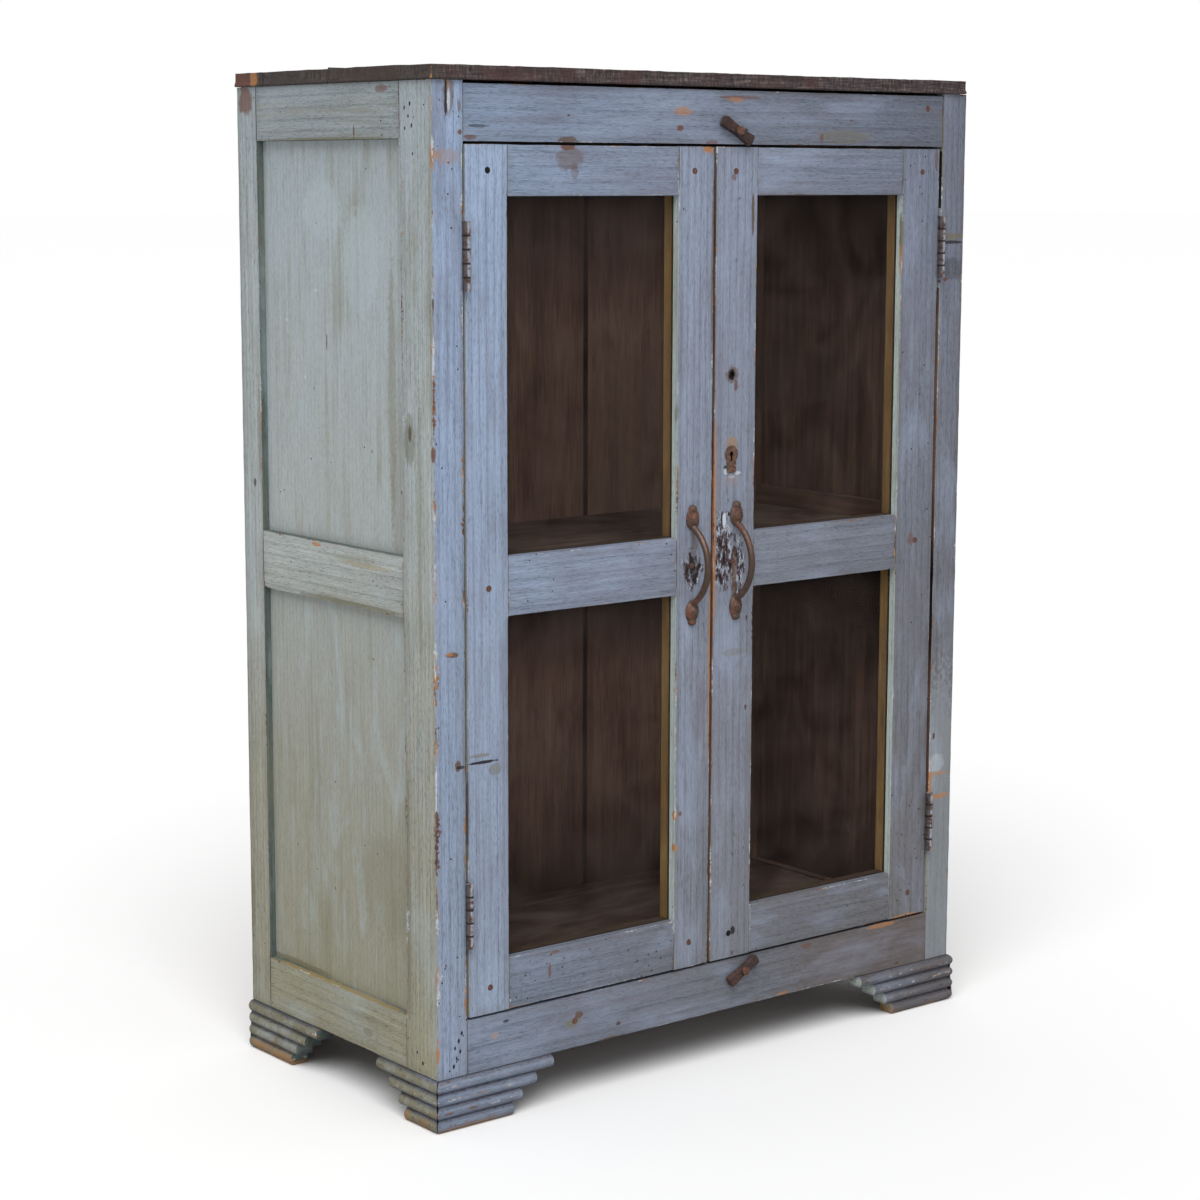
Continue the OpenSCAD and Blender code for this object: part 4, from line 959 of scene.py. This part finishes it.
top_boards = merged_copy("top_boards", "top_boards_weathered")
for axis, step_mm in ((X, 9), (Y, 14), (Z, 6)):
    slice_up(top_boards, axis, step_mm)
soften_corners(top_boards, 1.6)
# Only the upper side and the edges have weathered into dips: the underside stays flat on the case.
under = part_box("top_boards")[0].z
upper = top_boards.vertex_groups.new(name="upper")
upper.add([v.index for v in top_boards.data.vertices if v.co.z > under + 3 * MM], 1.0, "REPLACE")
press_in(top_boards, lumps("dents", 9, 3), 1.3, "upper")
press_in(top_boards, lumps("swell", 55, 3), 1.5, "upper")
settle(top_boards, "top_boards", top_teak())

# ---- feet ----

foot_paint = painted_teak("painted_teak_reeds", "x", wear=1.6, reeds=True)
for node in ("front_left_foot", "front_right_foot", "rear_left_foot", "rear_right_foot"):
    foot = merged_copy(node, node + "_worn")
    slice_up(foot, X, 7)
    slice_up(foot, Y, 7)
    soften_corners(foot, 0.9)
    press_in(foot, lumps("dents", 9, 3), 0.9)
    low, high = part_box(node)
    # The feet's low lightness is partly painted shade.
    note_for_finish(foot, low, high, 0.72, 0.43 * len(bpy.data.meshes))
    settle(foot, node, foot_paint, 40)

# ---- iron ----

pull_iron = rusty_iron("rusty_handled_iron", 0.75, 0.75, ("#231816", "#412c25", "#5f4033", "#7a5646"))
button_iron = rusty_iron("rusty_black_iron", 0.2, 0.2, ("#181214", "#2c2122", "#453330", "#5f4843"))


def dome(centre, half, cut_y):
    """A flattened ball on the wood: the half behind the wood's face is cut away."""
    bpy.ops.object.select_all(action="DESELECT")
    bpy.ops.mesh.primitive_uv_sphere_add(segments=32, ring_count=20, radius=1.0, location=centre,
                                         scale=half)
    made = bpy.context.object
    bpy.ops.object.transform_apply(location=True, rotation=True, scale=True)
    bpy.ops.object.mode_set(mode="EDIT")
    bpy.ops.mesh.select_all(action="SELECT")
    bpy.ops.mesh.bisect(plane_co=(0, cut_y, 0), plane_no=(0, 1, 0), use_fill=True, clear_outer=True)
    leave()
    return made


def forge(parts, name, voxel_mm, rounds, pit_mm):
    """Joins rough parts into one forging, smooths it that many times, and gives it a pitted skin."""
    bpy.ops.object.select_all(action="DESELECT")
    for part in parts:
        part.select_set(True)
    bpy.context.view_layer.objects.active = parts[0]
    if len(parts) > 1:
        bpy.ops.object.join()
    made = bpy.context.view_layer.objects.active
    made.name = name
    apply(made, "REMESH", mode="VOXEL", voxel_size=voxel_mm * MM)
    apply(made, "SMOOTH", factor=0.5, iterations=rounds)
    press_in(made, lumps("pits", 5, 3), pit_mm)
    return made


# Domes of each plate of a pull: how far in from the pull's end its middle lies, and its half width,
# depth and height. The leaf, the boss that the bow grows from, the neck and the ball at the tip.
PLATE_DOMES_MM = (
    (17, (9.9, 6.5, 13.5)),
    (17, (7.8, 9.5, 8.6)),
    (9, (6.2, 3.6, 7.0)),
    (5.2, (6.2, 6.2, 5.2)),
)
ROD_RADIUS_MM = 4.1
BOW_HALF_CHORD_MM = 46


def forged_pull(node):
    """A bow handle between two leaf-shaped plates, forged in one."""
    low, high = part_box(node)
    x, _, z = (low + high) / 2
    face = CORNER.y
    parts = []
    for sign in (-1, 1):
        for from_end, half in PLATE_DOMES_MM:
            middle = z + sign * ((high.z - low.z) / 2 - from_end * MM)
            parts.append(dome((x, face, middle), [h * MM for h in half], face))
    # The bow: a round section spun through the arc that its chord and its stand give.
    rod, chord = ROD_RADIUS_MM * MM, BOW_HALF_CHORD_MM * MM
    stand = face - low.y - rod
    ring = (chord ** 2 + stand ** 2) / (2 * stand)
    half_turn = math.asin(chord / ring)
    centre = Vector((x, face - stand + ring, z))
    bpy.ops.object.select_all(action="DESELECT")
    bpy.ops.mesh.primitive_circle_add(vertices=24, radius=rod, fill_type="NGON",
                                      location=centre + Vector((0, -ring, 0)))
    bow = bpy.context.object
    bpy.ops.object.transform_apply(location=True, rotation=True, scale=True)
    bpy.ops.object.mode_set(mode="EDIT")
    bpy.ops.mesh.select_all(action="SELECT")
    bpy.ops.transform.rotate(value=half_turn, orient_axis="X", orient_type="GLOBAL", center_override=centre)
    bpy.ops.mesh.spin(steps=40, angle=-2 * half_turn, center=centre, axis=(1, 0, 0))
    bpy.ops.mesh.select_all(action="SELECT")
    bpy.ops.mesh.remove_doubles(threshold=0.01 * MM)
    bpy.ops.mesh.normals_make_consistent(inside=False)
    leave()
    parts.append(bow)
    settle(forge(parts, node + "_forged", 0.7, 5, 0.35), node, pull_iron, 60)


for node in ("left_pull", "right_pull"):
    forged_pull(node)
for node in ("top_turn_button", "bottom_turn_button"):
    button = forge([merged_copy(node, node)], node + "_forged", 0.6, 6, 0.6)
    settle(button, node, button_iron, 60)
plate_iron = rusty_iron("rusty_thin_plate", 0.2, 0.2, ("#2a1e1b", "#4c3830", "#6d5142", "#8b705d"))
plate = forge([merged_copy("escutcheon", "keyhole_plate")], "keyhole_plate_rusty", 0.35, 2, 0.2)
settle(plate, "escutcheon", plate_iron, 60)

# ---- pieces whose shape is right already: only their finish ----

inner_upright = bare_teak("inner_teak_upright", "z", "#503932", "#8a6658", "#ae8a74", 0.25, seams=True)
inner_cross = bare_teak("inner_teak_crosswise", "x", "#2c201d", "#4b3932", "#6c594c", 0.45)
inner_deep = bare_teak("inner_teak_fore_and_aft", "y", "#3a2825", "#5f463c", "#7d6050", 0.25)
bead_teak = bare_teak("glazing_bead_teak", "z", "#5f4726", "#7d5f30", "#987a44", 0.1, dark_front=True)
lock_iron = rusty_iron("rusty_lock_iron", 0.3, 0.3)
FINISHES = {
    inner_upright: ("back_boards",),
    inner_cross: ("floor_board", "shelf", "door_stop", "rear_top_rail", "rear_bottom_rail"),
    inner_deep: ("cleats", "foot_blocks"),
    bead_teak: ("left_door_beads", "right_door_beads"),
    peg_end_grain(): ("left_door_pegs", "right_door_pegs", "rail_plugs"),
    painted_hinge(): (
        "post_hinge_leaves", "hinge_pins", "left_door_hinge_leaves", "right_door_hinge_leaves"),
    pull_iron: ("left_door_screws", "right_door_screws"),
    lock_iron: ("carcass_screws", "lock_case", "lock_bolt"),
    dusty_window_glass(): ("left_door_glass", "right_door_glass"),
}
for finish, nodes in FINISHES.items():
    for node in nodes:
        NODES[node].data.materials.clear()
        NODES[node].data.materials.append(finish)

# ---- stage, light, camera ----

# A floor so wide that its end lies at the horizon; it isn't mirrored in iron or glass.
FLOOR_M = 120
bpy.ops.object.select_all(action="DESELECT")
bpy.ops.mesh.primitive_plane_add(size=FLOOR_M, location=(0, 0, 0))
floor = bpy.context.object
floor.name = "studio_floor"
pale, add = new_material("pale_floor")
finish_surface(add, linear("#f3f3f3"), 0.9)
floor.data.materials.append(pale)
floor.visible_glossy = False

scene = bpy.context.scene
scene.view_settings.view_transform = "Standard"
world = bpy.data.worlds.new("studio")
world.use_nodes = True
world.node_tree.nodes.clear()
add_sky = partial(add_to, world.node_tree)
# White behind the object, soft light on it, and a dim room for what shines.
white, sky, dim = (
    add_sky("Background", {"Color": (1, 1, 1, 1), "Strength": strength})
    for strength in (1.0, 0.55, 0.12))
seen = add_sky("LightPath")
lit = add_sky("MixShader", (seen.outputs["Is Glossy Ray"], sky, dim))
both = add_sky("MixShader", (seen.outputs["Is Camera Ray"], lit, white))
add_sky("OutputWorld", {"Surface": both})
scene.world = world

# One wide soft light from the front, left and above.
LIGHT_TRAVEL = Vector((0.42, 0.47, -0.85))
key = bpy.data.lights.new("key", "SUN")
key.energy = 2.5
key.angle = math.radians(45)
key_object = bpy.data.objects.new("key", key)
key_object.rotation_euler = LIGHT_TRAVEL.to_track_quat("-Z", "Y").to_euler()
scene.collection.objects.link(key_object)


def look(azimuth, elevation, roll):
    """A camera's axes for a view from that side, in degrees: right, up and back as columns."""
    a, e, r = (math.radians(v) for v in (azimuth, elevation, roll))
    back = Vector((math.sin(a) * math.cos(e), -math.cos(a) * math.cos(e), math.sin(e)))
    right = Vector((math.cos(a), math.sin(a), 0))
    up = back.cross(right)
    turned = math.cos(r) * right + math.sin(r) * up
    tilted = math.cos(r) * up - math.sin(r) * right
    return Matrix((turned, tilted, back)).transposed()


CAMERA_PLACE = (-2.0736, -2.5469, 1.0598)
lens = bpy.data.cameras.new("camera")
lens.lens = 80.957
lens.sensor_width = 36
camera = bpy.data.objects.new("camera", lens)
camera.matrix_world = Matrix.Translation(CAMERA_PLACE) @ look(-38.735, 8.942, 0.157).to_4x4()
scene.collection.objects.link(camera)
scene.camera = camera

bpy.context.view_layer.update()
